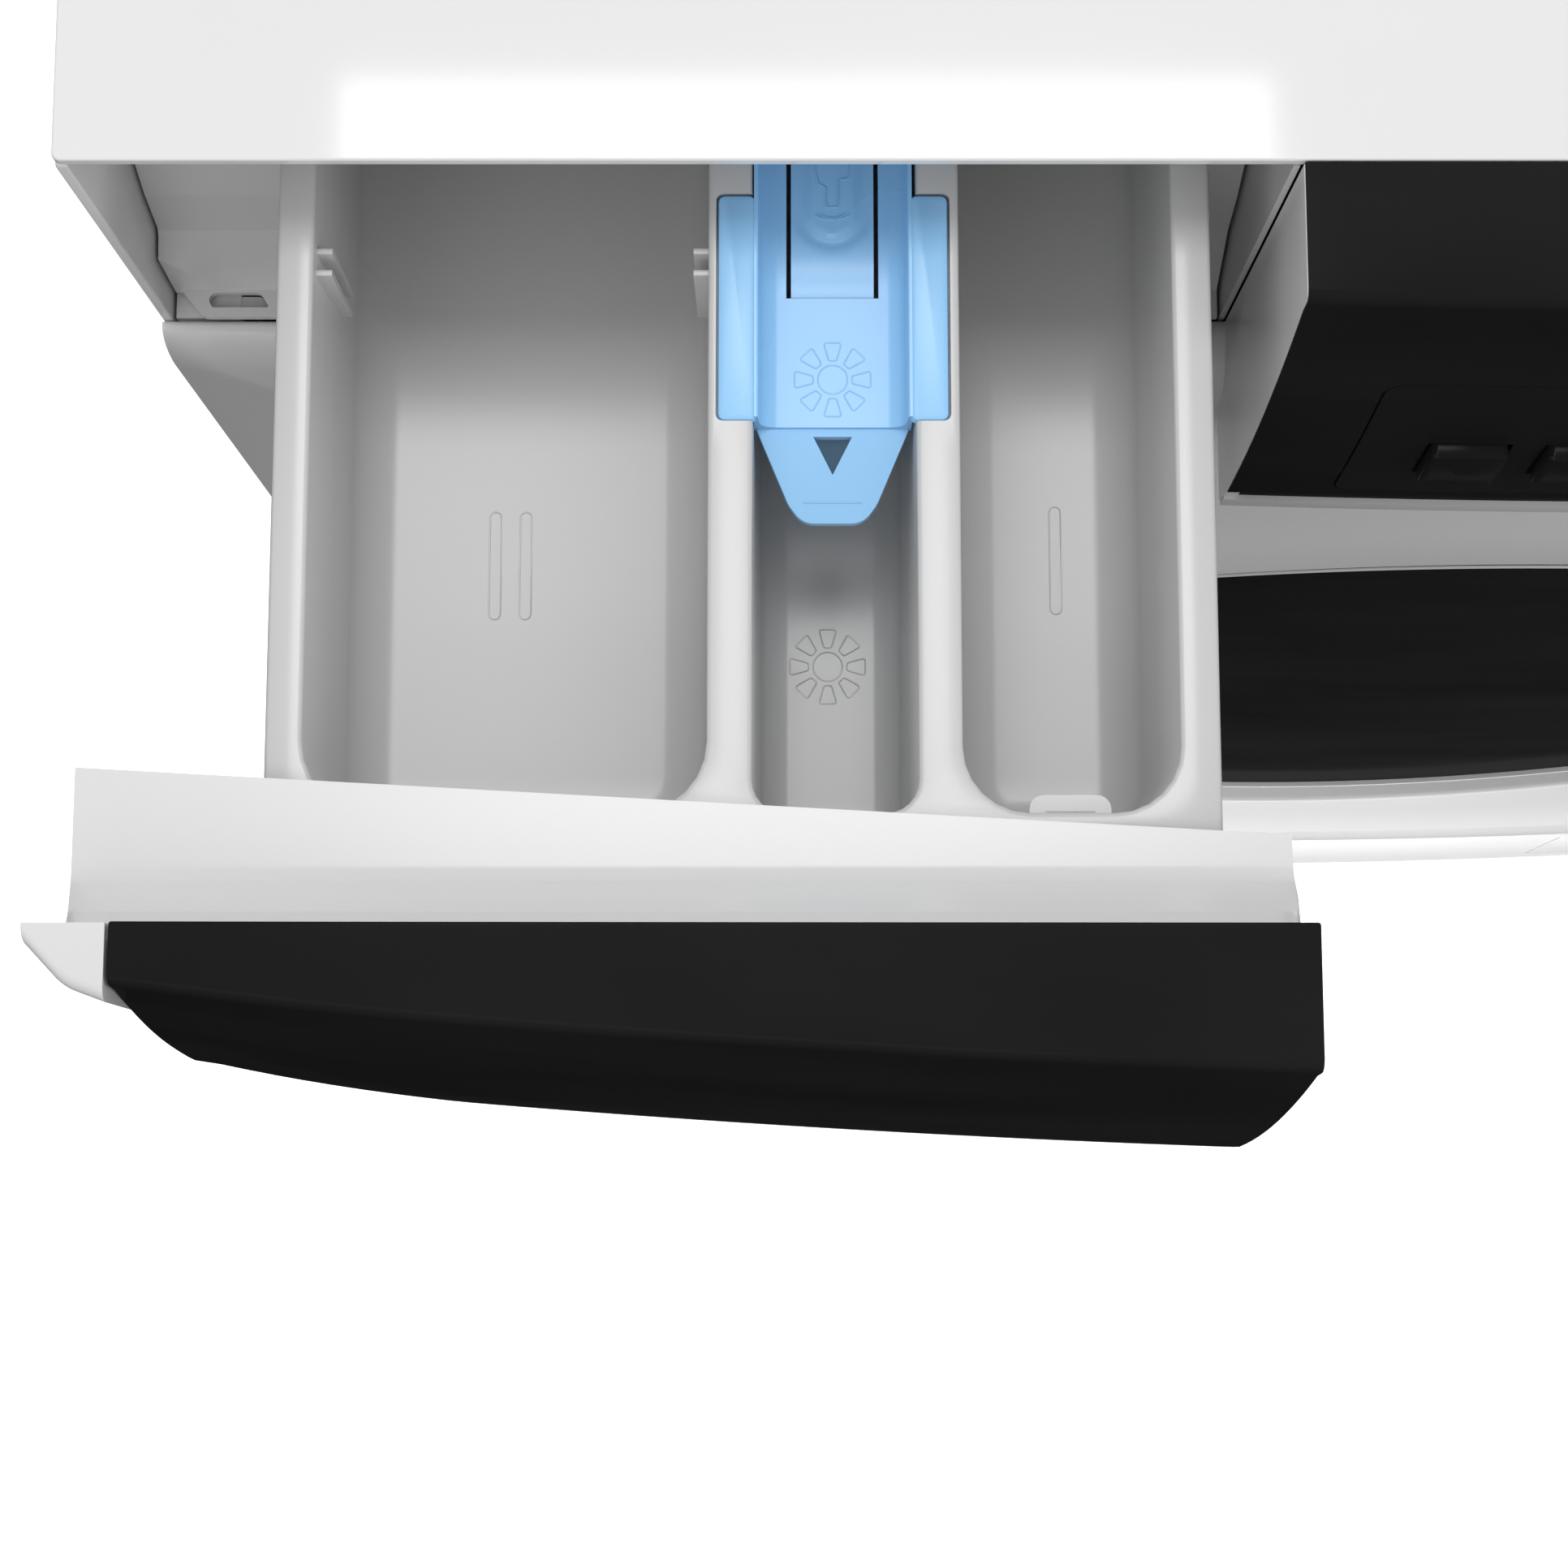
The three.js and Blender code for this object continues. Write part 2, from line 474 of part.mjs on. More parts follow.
// ---------------------------------------------------------------- door
function addDoor() {
  add('door_frame', shape([turned([
    [144, -10], [COVER_R + 0.3, -10], [COVER_R + 0.3, -20], [DOOR_R, -17], [DOOR_R, 8], [190, 10], [144, 10],
  ])], [box(174, 192, 1, 20, AXIS_Z - 10, AXIS_Z + 10)]), greyPlastic);
  add('door_cover', turned([
    [0, -31.5], [80, -30], [150, -26], [184, -21], [COVER_R, -19.5], [COVER_R, -10.3],
    [147, -10.3], [147, -21], [80, -26.5], [0, -28],
  ]), blackGloss);
  add('door_glass', turned([
    [0, 66], [60, 66], [118, 62], [138, 30], [GLASS_R, 12], [GLASS_R, -9.8],
    [138.5, -9.8], [138.5, 11], [133.5, 28], [115, 58.5], [58, 62], [0, 62],
  ]), glass);
  add('latch_hook', shape([
    box(182, 186, 2, 34, AXIS_Z - 8, AXIS_Z + 8), box(185, 189, 29, 34, AXIS_Z - 8, AXIS_Z + 8),
  ]), steel);
  add('door_lock', shape([box(168, 204, 14.3, 40, AXIS_Z - 24, AXIS_Z + 24)],
    [box(174, 194, 10, 37, AXIS_Z - 12, AXIS_Z + 12)]), darkPlastic);

  const knuckle = (z0, z1) => rodZ(6, z0, z1, HINGE_X, HINGE_Y);
  add('door_hinge_arm', shape([
    knuckle(AXIS_Z - 20, AXIS_Z + 20), box(HINGE_X, -187, -27, -20.3, AXIS_Z - 20, AXIS_Z + 20),
  ], [rodZ(3.4, 300, 500, HINGE_X, HINGE_Y)]), greyPlastic);
  add('door_hinge_bracket', shape([
    knuckle(AXIS_Z - 32, AXIS_Z - 20.3), knuckle(AXIS_Z + 20.3, AXIS_Z + 32),
    rodZ(3, AXIS_Z - 31, AXIS_Z + 31, HINGE_X, HINGE_Y),
    box(-224, -213, -20, -12, AXIS_Z - 32, AXIS_Z + 32),
    box(-214, HINGE_X, -24, -12, AXIS_Z - 32, AXIS_Z - 20.3),
    box(-214, HINGE_X, -24, -12, AXIS_Z + 20.3, AXIS_Z + 32),
  ]), greyPlastic);
  add('door_seal', turned([
    [SEAL_R, 11], [SEAL_R, 56], [SEAL_R - 3, 56], [SEAL_R - 3, 29], [146, 24], [146, 21], [SEAL_R - 3, 25], [SEAL_R - 3, 11],
  ], FINE), rubber);
}

// ---------------------------------------------------------------- tub, drum and what hangs on them
function addTub() {
  const inside = turned([
    [0, TUB_FRONT_Y + TUB_WALL], [TUB_R - TUB_WALL, TUB_FRONT_Y + TUB_WALL],
    [TUB_R - TUB_WALL, TUB_REAR_Y - TUB_WALL], [0, TUB_REAR_Y - TUB_WALL],
  ]);
  const mouth = rodY(TUB_MOUTH_R, 30, 80, 0, AXIS_Z, FINE);
  add('tub_front_half', shape([
    rodY(TUB_R, TUB_FRONT_Y, TUB_SPLIT_Y - GAP, 0, AXIS_Z, FINE),
    rodY(TUB_MOUTH_R + 4, 42, TUB_FRONT_Y + 1, 0, AXIS_Z, FINE),
    rodZ(14.5, 600, 639.6, -185, 180),
    rodZ(14, 160.3, 195, 110, 120),
  ], [inside, mouth, rodZ(11, 560, 660, -185, 180), rodZ(11, 140, 240, 110, 120)]), whitePlastic);

  const arm = (side) => {
    const [x0, x1] = [side * 190, side * 252].sort((a, b) => a - b);
    return box(x0, x1, SPRING_Y - 10, SPRING_Y + 10, SPRING_LOW_Z - 15, SPRING_LOW_Z - GAP);
  };
  const lug = (side) => {
    const [x0, x1] = [side * 150, side * 190].sort((a, b) => a - b);
    return box(x0, x1, TUB_SPLIT_Y + 1, TUB_SPLIT_Y + 22, 205.3, 230);
  };
  add('tub_rear_half', shape([
    rodY(TUB_R, TUB_SPLIT_Y, TUB_REAR_Y, 0, AXIS_Z, FINE),
    rodY(BEARING_R + 16, TUB_REAR_Y - 5, TUB_REAR_Y + 31, 0, AXIS_Z, MEDIUM),
    arm(-1), arm(1), lug(-1), lug(1), box(-190, -140, 300, 340, MOTOR_Z + MOTOR_R + 1.5, 235),
  ], [
    inside, rodY(BEARING_R + GAP, 380, 440, 0, AXIS_Z, MEDIUM),
    rodY(5, 380, 400, -34, AXIS_Z - 246.5), rodY(5, 380, 400, 34, AXIS_Z - 246.5),
  ]), whitePlastic);

  const ring = new THREE.Shape();
  const [from, to] = [THREE.MathUtils.degToRad(22), THREE.MathUtils.degToRad(158)];
  ring.absarc(0, AXIS_Z, 250, from, to).absarc(0, AXIS_Z, 186, to, from, true);
  add('front_counterweight', new THREE.ExtrudeGeometry(ring,
    { depth: TUB_FRONT_Y - GAP - 24, bevelEnabled: false, curveSegments: MEDIUM })
    .rotateX(Math.PI / 2).translate(0, TUB_FRONT_Y - GAP, 0), castIron);

  add('motor_body', shape([
    rodY(MOTOR_R, 250, 395, MOTOR_X, MOTOR_Z, MEDIUM),
    box(-185, -145, 302, 338, MOTOR_Z + 50, MOTOR_Z + MOTOR_R + 1.2),
  ]), aluminium);
  const centre = (side) => new THREE.Vector3(side * 34, 0, AXIS_Z - 246.5);
  const bend = new THREE.CurvePath();
  bend.add(new THREE.LineCurve3(centre(-1).setY(412), centre(-1).setY(150)));
  bend.add(new THREE.CubicBezierCurve3(centre(-1).setY(150), centre(-1).setY(104), centre(1).setY(104), centre(1).setY(150)));
  bend.add(new THREE.LineCurve3(centre(1).setY(150), centre(1).setY(412)));
  const wire = new THREE.Shape().absarc(0, 0, 3.5, 0, 2 * Math.PI);
  add('heater', new THREE.ExtrudeGeometry(wire, { extrudePath: bend, steps: 24, curveSegments: 3 }), steel);

  add('drum_bearing', turned([
    [SHAFT_R + GAP, TUB_REAR_Y], [BEARING_R, TUB_REAR_Y], [BEARING_R, TUB_REAR_Y + 29], [SHAFT_R + GAP, TUB_REAR_Y + 29],
  ], MEDIUM), steel);
  add('drive_belt', beltGeometry(), blackRubber);
  for (const [name, side] of [['damper_rod_left', -1], ['damper_rod_right', 1]]) {
    add(name, rodZ(6, 75, 205, side * DAMPER_X, TUB_SPLIT_Y + 11), steel);
  }
}

/** The belt: a band round both pulleys, drawn from the tangent directions of the two circles. */
function beltGeometry() {
  const drum = new THREE.Vector2(0, AXIS_Z);
  const motor = new THREE.Vector2(MOTOR_X, MOTOR_Z);
  const span = new THREE.Vector2().subVectors(motor, drum);
  const heading = span.angle();
  const loop = (extra) => {
    const [big, small] = [PULLEY_R + extra, MOTOR_PULLEY_R + extra];
    const wrap = Math.acos((big - small) / span.length());
    const path = new THREE.Shape();
    path.absarc(drum.x, drum.y, big, heading + wrap, heading - wrap + 2 * Math.PI);
    path.absarc(motor.x, motor.y, small, heading - wrap, heading + wrap);
    return path;
  };
  const band = loop(BELT_GAP + BELT);
  band.holes.push(new THREE.Path(loop(BELT_GAP).getPoints(7)));
  return new THREE.ExtrudeGeometry(band, { depth: 12, bevelEnabled: false, curveSegments: 7 })
    .rotateX(Math.PI / 2).translate(0, PULLEY_Y + 13, 0);
}

function addDrum() {
  const basket = turned([
    [DRUM_MOUTH_R, DRUM_FRONT_Y], [DRUM_R, DRUM_FRONT_Y], [DRUM_R, DRUM_REAR_Y], [0, DRUM_REAR_Y],
    [0, DRUM_REAR_Y - DRUM_WALL], [DRUM_R - DRUM_WALL, DRUM_REAR_Y - DRUM_WALL],
    [DRUM_R - DRUM_WALL, DRUM_FRONT_Y + DRUM_WALL], [DRUM_MOUTH_R, DRUM_FRONT_Y + DRUM_WALL],
  ]);
  const ridge = outlineOf([[-28, 239.8], [-12, 204], [0, 201], [12, 204], [28, 239.8], [0, 241.2]]);
  const lifters = [0, 1, 2].map((i) =>
    alongY(ridge, 90, 352).rotateY((i * 2 * Math.PI) / 3).translate(0, 0, AXIS_Z));
  add('drum_basket', shape([basket, ...lifters]), steel);

  const arms = [0, 1, 2].map((i) => box(-18, 18, 374, 386, 0, 226)
    .rotateY((i * 2 * Math.PI) / 3).translate(0, 0, AXIS_Z));
  add('drum_spider_shaft', shape([
    ...arms, rodY(44, 374, 389, 0, AXIS_Z), rodY(SHAFT_R, 386, 452, 0, AXIS_Z),
  ]), aluminium);
  add('drum_pulley', turned([
    [SHAFT_R + GAP, 434], [28, 434], [28, 439], [130, 439], [130, PULLEY_Y], [PULLEY_R, PULLEY_Y],
    [PULLEY_R, 448], [130, 448], [130, 443], [28, 443], [28, 450], [SHAFT_R + GAP, 450],
  ]), aluminium);
  add('motor_pulley', shape([
    rodY(6, 395.4, 436, MOTOR_X, MOTOR_Z), rodY(MOTOR_PULLEY_R, PULLEY_Y - 2, 450, MOTOR_X, MOTOR_Z, MEDIUM),
  ]), steel);
}

// ---------------------------------------------------------------- suspension, pump and fittings
function springGeometry(x) {
  const turns = 7;
  const radius = 11;
  const low = SPRING_LOW_Z + 12;
  const high = SPRING_HIGH_Z - 12;
  const points = [new THREE.Vector3(x, SPRING_Y, SPRING_LOW_Z + 1.2)];
  for (let i = 0; i <= turns * 8; i++) {
    const angle = (i * Math.PI) / 4;
    const z = low + ((high - low) * i) / (turns * 8);
    points.push(new THREE.Vector3(x + radius * Math.cos(angle), SPRING_Y + radius * Math.sin(angle), z));
  }
  points.push(new THREE.Vector3(x, SPRING_Y, SPRING_HIGH_Z - 1.4));
  const wire = new THREE.Shape().absarc(0, 0, 1.8, 0, 2 * Math.PI);
  return new THREE.ExtrudeGeometry(wire,
    { extrudePath: new THREE.CatmullRomCurve3(points, false, 'centripetal'), steps: 52, curveSegments: 2 });
}

function addSuspension() {
  for (const [name, side] of [['spring_left', -1], ['spring_right', 1]]) {
    add(name, springGeometry(side * SPRING_X), steel);
  }
  for (const [name, side] of [['damper_tube_left', -1], ['damper_tube_right', 1]]) {
    const [x, y] = [side * DAMPER_X, TUB_SPLIT_Y + 11];
    add(name, turnedZ([[0, BASE_Z + 3.3], [13, BASE_Z + 3.3], [13, 150], [7, 150], [7, 60], [0, 60]], x, y), darkPlastic);
  }
  [-FOOT_X, FOOT_X].forEach((x, column) => FOOT_Y.forEach((y, row) => {
    const name = `foot_${['front', 'rear'][row]}_${['left', 'right'][column]}`;
    add(name, shape([
      rodZ(20, 0, 7, x, y), rodZ(5, 6, 34, x, y), rodZ(9, 9, 15.6, x, y, 6),
    ]), blackRubber);
  }));
}

function addFittings() {
  add('drain_pump', shape([
    rodY(30, 20, 150, 210, 60), box(92, 212, 100, 140, 36, 86), rodZ(14, 80, 107.6, 110, 120),
    box(180, 240, 60, 140, BASE_Z + 3.3, 50),
  ], [rodY(20.5, 10, 60, 210, 60), rodZ(11, 70, 120, 110, 120)]), whitePlastic);
  add('filter_cap', shape([
    rodY(26, -1, 8, 210, 60), rodY(19.4, 7, 45, 210, 60), box(206, 214, -7, 0, 38, 82),
  ]), darkPlastic);
  add('sump_hose', turnedZ([[17, 108], [17, 160], [13.8, 160], [13.8, 108]], 110, 120), blackRubber);
  add('inlet_valve', shape([
    box(-200, -140, 490, 545, 780, 822), rodY(13, 544, FITTING_Y, -170, 800),
  ], [rodY(10, 530, 600, -170, 800)]), whitePlastic);
  add('mains_gland', shape([
    rodY(9, 535, FITTING_Y, 200, 800), rodY(14, 538, 545, 200, 800),
  ], [rodY(4, 545, 600, 200, 800)]), darkPlastic);
  add('drain_outlet', shape([
    rodY(12, 520, FITTING_Y, -240, 700), rodY(17, 538, 545, -240, 700),
  ], [rodY(9, 510, 600, -240, 700)]), darkPlastic);
}

addCabinet();
addFrontPanel();
addFascia();
addDispenser();
addDrawer();
addSiphon();
addDoor();
addTub();
addDrum();
addSuspension();
addFittings();
machine.position.y = -ORIGIN_Y;

export default machine;
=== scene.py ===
"""The looks of a front load washing machine whose detergent drawer is pulled out.

Shapes are drawn in millimetres, with x from the machine's middle plane, y back from the worktop's
front edge and z up from the floor. TO_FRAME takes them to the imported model's frame, in metres.
"""

import math

import bmesh
import bpy
from mathutils import Matrix, Vector
from mathutils.geometry import tessellate_polygon


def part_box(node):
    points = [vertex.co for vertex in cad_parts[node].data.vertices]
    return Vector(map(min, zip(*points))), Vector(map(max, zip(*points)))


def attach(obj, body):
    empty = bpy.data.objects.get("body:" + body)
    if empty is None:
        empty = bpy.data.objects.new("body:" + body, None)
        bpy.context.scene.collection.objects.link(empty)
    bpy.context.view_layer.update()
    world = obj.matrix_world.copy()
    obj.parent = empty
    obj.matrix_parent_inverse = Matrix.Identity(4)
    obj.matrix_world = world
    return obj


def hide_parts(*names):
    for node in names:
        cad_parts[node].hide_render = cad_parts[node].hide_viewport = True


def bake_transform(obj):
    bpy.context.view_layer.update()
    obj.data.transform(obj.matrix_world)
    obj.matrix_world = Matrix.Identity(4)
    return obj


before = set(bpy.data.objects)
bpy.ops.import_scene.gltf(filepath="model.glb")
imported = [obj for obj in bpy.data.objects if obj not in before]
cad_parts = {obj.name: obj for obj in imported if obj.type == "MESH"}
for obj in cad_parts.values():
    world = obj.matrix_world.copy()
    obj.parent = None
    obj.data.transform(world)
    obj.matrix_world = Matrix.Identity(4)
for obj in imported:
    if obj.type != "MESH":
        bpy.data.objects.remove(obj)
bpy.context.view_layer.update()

# ---------------------------------------------------------------- driving sizes
MM = 0.001
WORKTOP_LOW, WORKTOP_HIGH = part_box("worktop")
TO_FRAME = Matrix.Translation((0, WORKTOP_LOW.y, 0)) @ Matrix.Scale(MM, 4)
HALF_WIDTH = WORKTOP_HIGH.x / MM
TOP_Z = WORKTOP_HIGH.z / MM
REAR_Y = 547.0
DEPTH_BACK = (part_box("rear_cover")[1].y - WORKTOP_LOW.y) / MM
DRAWER_OUT = 123.7
BASE_Z = 16.0
UNDER_LIP_Z = TOP_Z - 2.2
FASCIA_BOTTOM_Z = 757.0
FASCIA_LEFT = -95.4
DRAWER_RIGHT = -96.2
END_CAP = 13.3
SKIN = 2.2
FRONT_Y = -17.0
FRONT_TOP_Z = 764.0
FRONT_BOTTOM_Z = 100.0
AXIS_Z = 422.0
DOOR_R = 199.0
DOOR_HOLE_R = 203.0
DOOR_LEAN = 0.0108
FRONT_BOW_R = 3820
FASCIA_BOW_R = 2900
RIM_Z = 826.0
SIPHON_X = -171.7
BUTTON_X = (-56.5, -35.5, -14.5, 6.5)
BUTTON_Z = 785.5
KNOB_X, KNOB_Z, KNOB_R = 190.0, 792.0, 24.0


# ---------------------------------------------------------------- camera, floor and light
def add_camera():
    data = bpy.data.cameras.new("camera")
    data.lens, data.sensor_width = 65.2, 36
    camera = bpy.data.objects.new("camera", data)
    camera.location = (WORKTOP_LOW.x + 0.119, WORKTOP_LOW.y - 0.1667, WORKTOP_HIGH.z + 0.441)
    camera.rotation_euler = (math.radians(8.32), 0, 0)
    bpy.context.scene.collection.objects.link(camera)
    bpy.context.scene.camera = camera


def add_lamp(name, place, aim, power, size, mirrored=True):
    data = bpy.data.lights.new(name, "AREA")
    data.energy, data.shape = power, "RECTANGLE"
    data.size, data.size_y = size
    lamp = bpy.data.objects.new(name, data)
    lamp.location = place
    lamp.rotation_euler = (Vector(aim) - Vector(place)).to_track_quat("-Z", "Y").to_euler()
    lamp.visible_camera = False
    lamp.visible_glossy = mirrored
    bpy.context.scene.collection.objects.link(lamp)


def by_ray(tree, seen, plain, glossy=None):
    """A number that is `plain` for most rays, `seen` for the camera's and `glossy` in reflections."""
    nodes, links = tree.nodes, tree.links
    path = nodes.new("ShaderNodeLightPath")
    result = plain
    for ray, value in (("Is Glossy Ray", glossy), ("Is Camera Ray", seen)):
        if value is None:
            continue
        pick = nodes.new("ShaderNodeMix")
        if isinstance(result, float):
            pick.inputs["A"].default_value = result
        else:
            links.new(result, pick.inputs["A"])
        pick.inputs["B"].default_value = value
        links.new(path.outputs[ray], pick.inputs["Factor"])
        result = pick.outputs["Result"]
    return result


def add_studio():
    world = bpy.data.worlds.new("studio")
    world.use_nodes = True
    background = world.node_tree.nodes["Background"]
    background.inputs["Color"].default_value = (1, 1, 1, 1)
    world.node_tree.links.new(by_ray(world.node_tree, 1.0, 0.70, 0.14), background.inputs["Strength"])
    bpy.context.scene.world = world
    bpy.context.scene.view_settings.view_transform = "Standard"

    half = 40
    mesh = bpy.data.meshes.new("floor")
    corners = [(-half, -half, 0), (half, -half, 0), (half, half, 0), (-half, half, 0)]
    mesh.from_pydata(corners, [], [(0, 1, 2, 3)])
    floor = bpy.data.objects.new("floor", mesh)
    bpy.context.scene.collection.objects.link(floor)
    pale = bpy.data.materials.new("pale_floor")
    pale.use_nodes = True
    shader = pale.node_tree.nodes["Principled BSDF"]
    shader.inputs["Roughness"].default_value = 0.9
    shader.inputs["Specular IOR Level"].default_value = 0.0
    shader.inputs["Emission Color"].default_value = (1, 1, 1, 1)
    links = pale.node_tree.links
    links.new(by_ray(pale.node_tree, 0.9, 0.12, 0.02), shader.inputs["Base Color"])
    links.new(by_ray(pale.node_tree, 0.6, 0.0, 0.0), shader.inputs["Emission Strength"])
    floor.data.materials.append(pale)

    add_lamp("top_light", (-0.163, 0.186, 2.5), (-0.163, 0.186, 0), 8.5, (0.72, 0.61))
    add_lamp("front_light", (-0.7, -2.1, 2.6), (-0.15, -0.2, 0.7), 7, (1.6, 1.2))
    add_lamp("side_light", (2.4, -1.0, 1.4), (0, 0, 0.5), 12, (1.2, 1.6), mirrored=False)
    add_lamp("foot_light", (-0.1, -0.48, 0.03), (-0.1, -0.2, 0.10), 2.4, (1.1, 0.05), mirrored=False)
    add_lamp("back_light", (-1.4, 2.6, 1.8), (0, 0.3, 0.5), 9, (1.6, 1.2), mirrored=False)


# ---------------------------------------------------------------- materials
def finish_of(name, colour, roughness, tint=0.03, mottle=9.0, grain=1400.0, bump=0.12,
              relief=0.00003, metallic=0.0, specular=0.5, coat=0.0, coat_roughness=0.03,
              transmission=0.0, ior=1.5, stretch=(1, 1, 1), rough_spread=0.06):
    """A moulded, painted or metal finish: cloudy colour, uneven gloss and a fine surface grain."""
    look = bpy.data.materials.new(name)
    look.use_nodes = True
    nodes, links = look.node_tree.nodes, look.node_tree.links
    shader = nodes["Principled BSDF"]
    shader.inputs["Metallic"].default_value = metallic
    shader.inputs["Specular IOR Level"].default_value = specular
    shader.inputs["Coat Weight"].default_value = coat
    shader.inputs["Coat Roughness"].default_value = coat_roughness
    shader.inputs["Transmission Weight"].default_value = transmission
    shader.inputs["IOR"].default_value = ior

    place = nodes.new("ShaderNodeTexCoord")
    mapping = nodes.new("ShaderNodeMapping")
    mapping.inputs["Scale"].default_value = stretch
    links.new(place.outputs["Object"], mapping.inputs["Vector"])

    cloud = nodes.new("ShaderNodeTexNoise")
    cloud.inputs["Scale"].default_value = mottle
    cloud.inputs["Detail"].default_value = 4
    links.new(mapping.outputs["Vector"], cloud.inputs["Vector"])
    ramp = nodes.new("ShaderNodeValToRGB")
    ramp.color_ramp.elements[0].position, ramp.color_ramp.elements[1].position = 0.3, 0.7
    for element, share in zip(ramp.color_ramp.elements, (1 - tint, 1 + tint)):
        element.color = (*(min(1, c * share) for c in colour), 1)
    links.new(cloud.outputs["Fac"], ramp.inputs["Fac"])
    links.new(ramp.outputs["Color"], shader.inputs["Base Color"])

    uneven = nodes.new("ShaderNodeMapRange")
    uneven.inputs["To Min"].default_value = max(0.01, roughness - rough_spread)
    uneven.inputs["To Max"].default_value = roughness + rough_spread
    links.new(cloud.outputs["Fac"], uneven.inputs["Value"])
    links.new(uneven.outputs["Result"], shader.inputs["Roughness"])

    fine = nodes.new("ShaderNodeTexNoise")
    fine.inputs["Scale"].default_value = grain
    fine.inputs["Detail"].default_value = 2
    links.new(mapping.outputs["Vector"], fine.inputs["Vector"])
    bumps = nodes.new("ShaderNodeBump")
    bumps.inputs["Strength"].default_value = bump
    bumps.inputs["Distance"].default_value = relief
    links.new(fine.outputs["Fac"], bumps.inputs["Height"])
    links.new(bumps.outputs["Normal"], shader.inputs["Normal"])
    return look


WHITE_LAMINATE = finish_of("white_laminate", (0.79, 0.79, 0.79), 0.06, 0.012, rough_spread=0.02, bump=0.02)
WHITE_PAINT = finish_of("white_paint", (0.80, 0.80, 0.80), 0.28, 0.004, grain=700, bump=0.08,
                        rough_spread=0.012)
WHITE_PLASTIC = finish_of("white_plastic", (0.72, 0.72, 0.72), 0.24, 0.015, bump=0.05)
# A darker copy of the white plastic, used only for the tray: painted shade for the shade inside the tray's
# rooms.
TRAY_PAINTED_SHADE_PLASTIC = finish_of("tray_painted_shade_plastic", (0.60, 0.60, 0.60), 0.24, 0.015, bump=0.05)
TUB_PLASTIC = finish_of("tub_plastic", (0.62, 0.63, 0.62), 0.5, 0.04, grain=500, bump=0.2)
BLACK_GLOSS = finish_of("black_gloss", (0.0145, 0.0145, 0.0147), 0.12, 0.25, mottle=14, grain=60, bump=0.05,
                        relief=0.0004, specular=0.0, coat=0.05, coat_roughness=0.1, stretch=(0.5, 1, 1.6),
                        rough_spread=0.05)
BLACK_PLATE = finish_of("black_plate", (0.0140, 0.0140, 0.0142), 0.22, 0.15, specular=0.14, bump=0.04)
GREY_PLASTIC = finish_of("grey_plastic", (0.42, 0.43, 0.44), 0.36, 0.03, bump=0.08)
DARK_PLASTIC = finish_of("dark_plastic", (0.035, 0.036, 0.038), 0.5, 0.08, bump=0.15)
BLUE_PLASTIC = finish_of("blue_plastic", (0.31, 0.62, 0.96), 0.26, 0.02, bump=0.05)
STAINLESS = finish_of("stainless", (0.52, 0.53, 0.54), 0.24, 0.05, metallic=0.55, grain=220,
                      bump=0.06, stretch=(1, 30, 1))
CAST_ALUMINIUM = finish_of("cast_aluminium", (0.50, 0.51, 0.52), 0.42, 0.08, metallic=0.4, grain=420, bump=0.25)
ZINC_SHEET = finish_of("zinc_sheet", (0.46, 0.48, 0.49), 0.38, 0.06, mottle=60, metallic=0.35, grain=300,
                       bump=0.05)
WEIGHT_IRON = finish_of("weight_iron", (0.10, 0.10, 0.105), 0.7, 0.2, metallic=0.4, grain=260, bump=0.5,
                        relief=0.0002)
SEAL_RUBBER = finish_of("seal_rubber", (0.20, 0.205, 0.21), 0.62, 0.06, grain=600, bump=0.2)
BLACK_RUBBER = finish_of("black_rubber", (0.02, 0.02, 0.02), 0.7, 0.15, grain=600, bump=0.25)
DOOR_GLASS = finish_of("door_glass", (0.92, 0.96, 0.97), 0.03, 0.01, rough_spread=0.01, bump=0.0,
                       transmission=1.0, ior=1.5)
BOARD = finish_of("board", (0.02, 0.12, 0.06), 0.5, 0.2, mottle=120)
# Pale grey for the knob's scale ticks, and for the door's trim ring, where the paleness also paints in a
# highlight along the ring's edge.
PALE_TICKS_AND_RIM_HIGHLIGHT = finish_of("pale_ticks_and_rim_highlight", (0.62, 0.63, 0.64), 0.4, 0.02)
STEEL_WIRE = finish_of("steel_wire", (0.45, 0.46, 0.47), 0.3, 0.05, metallic=0.4)


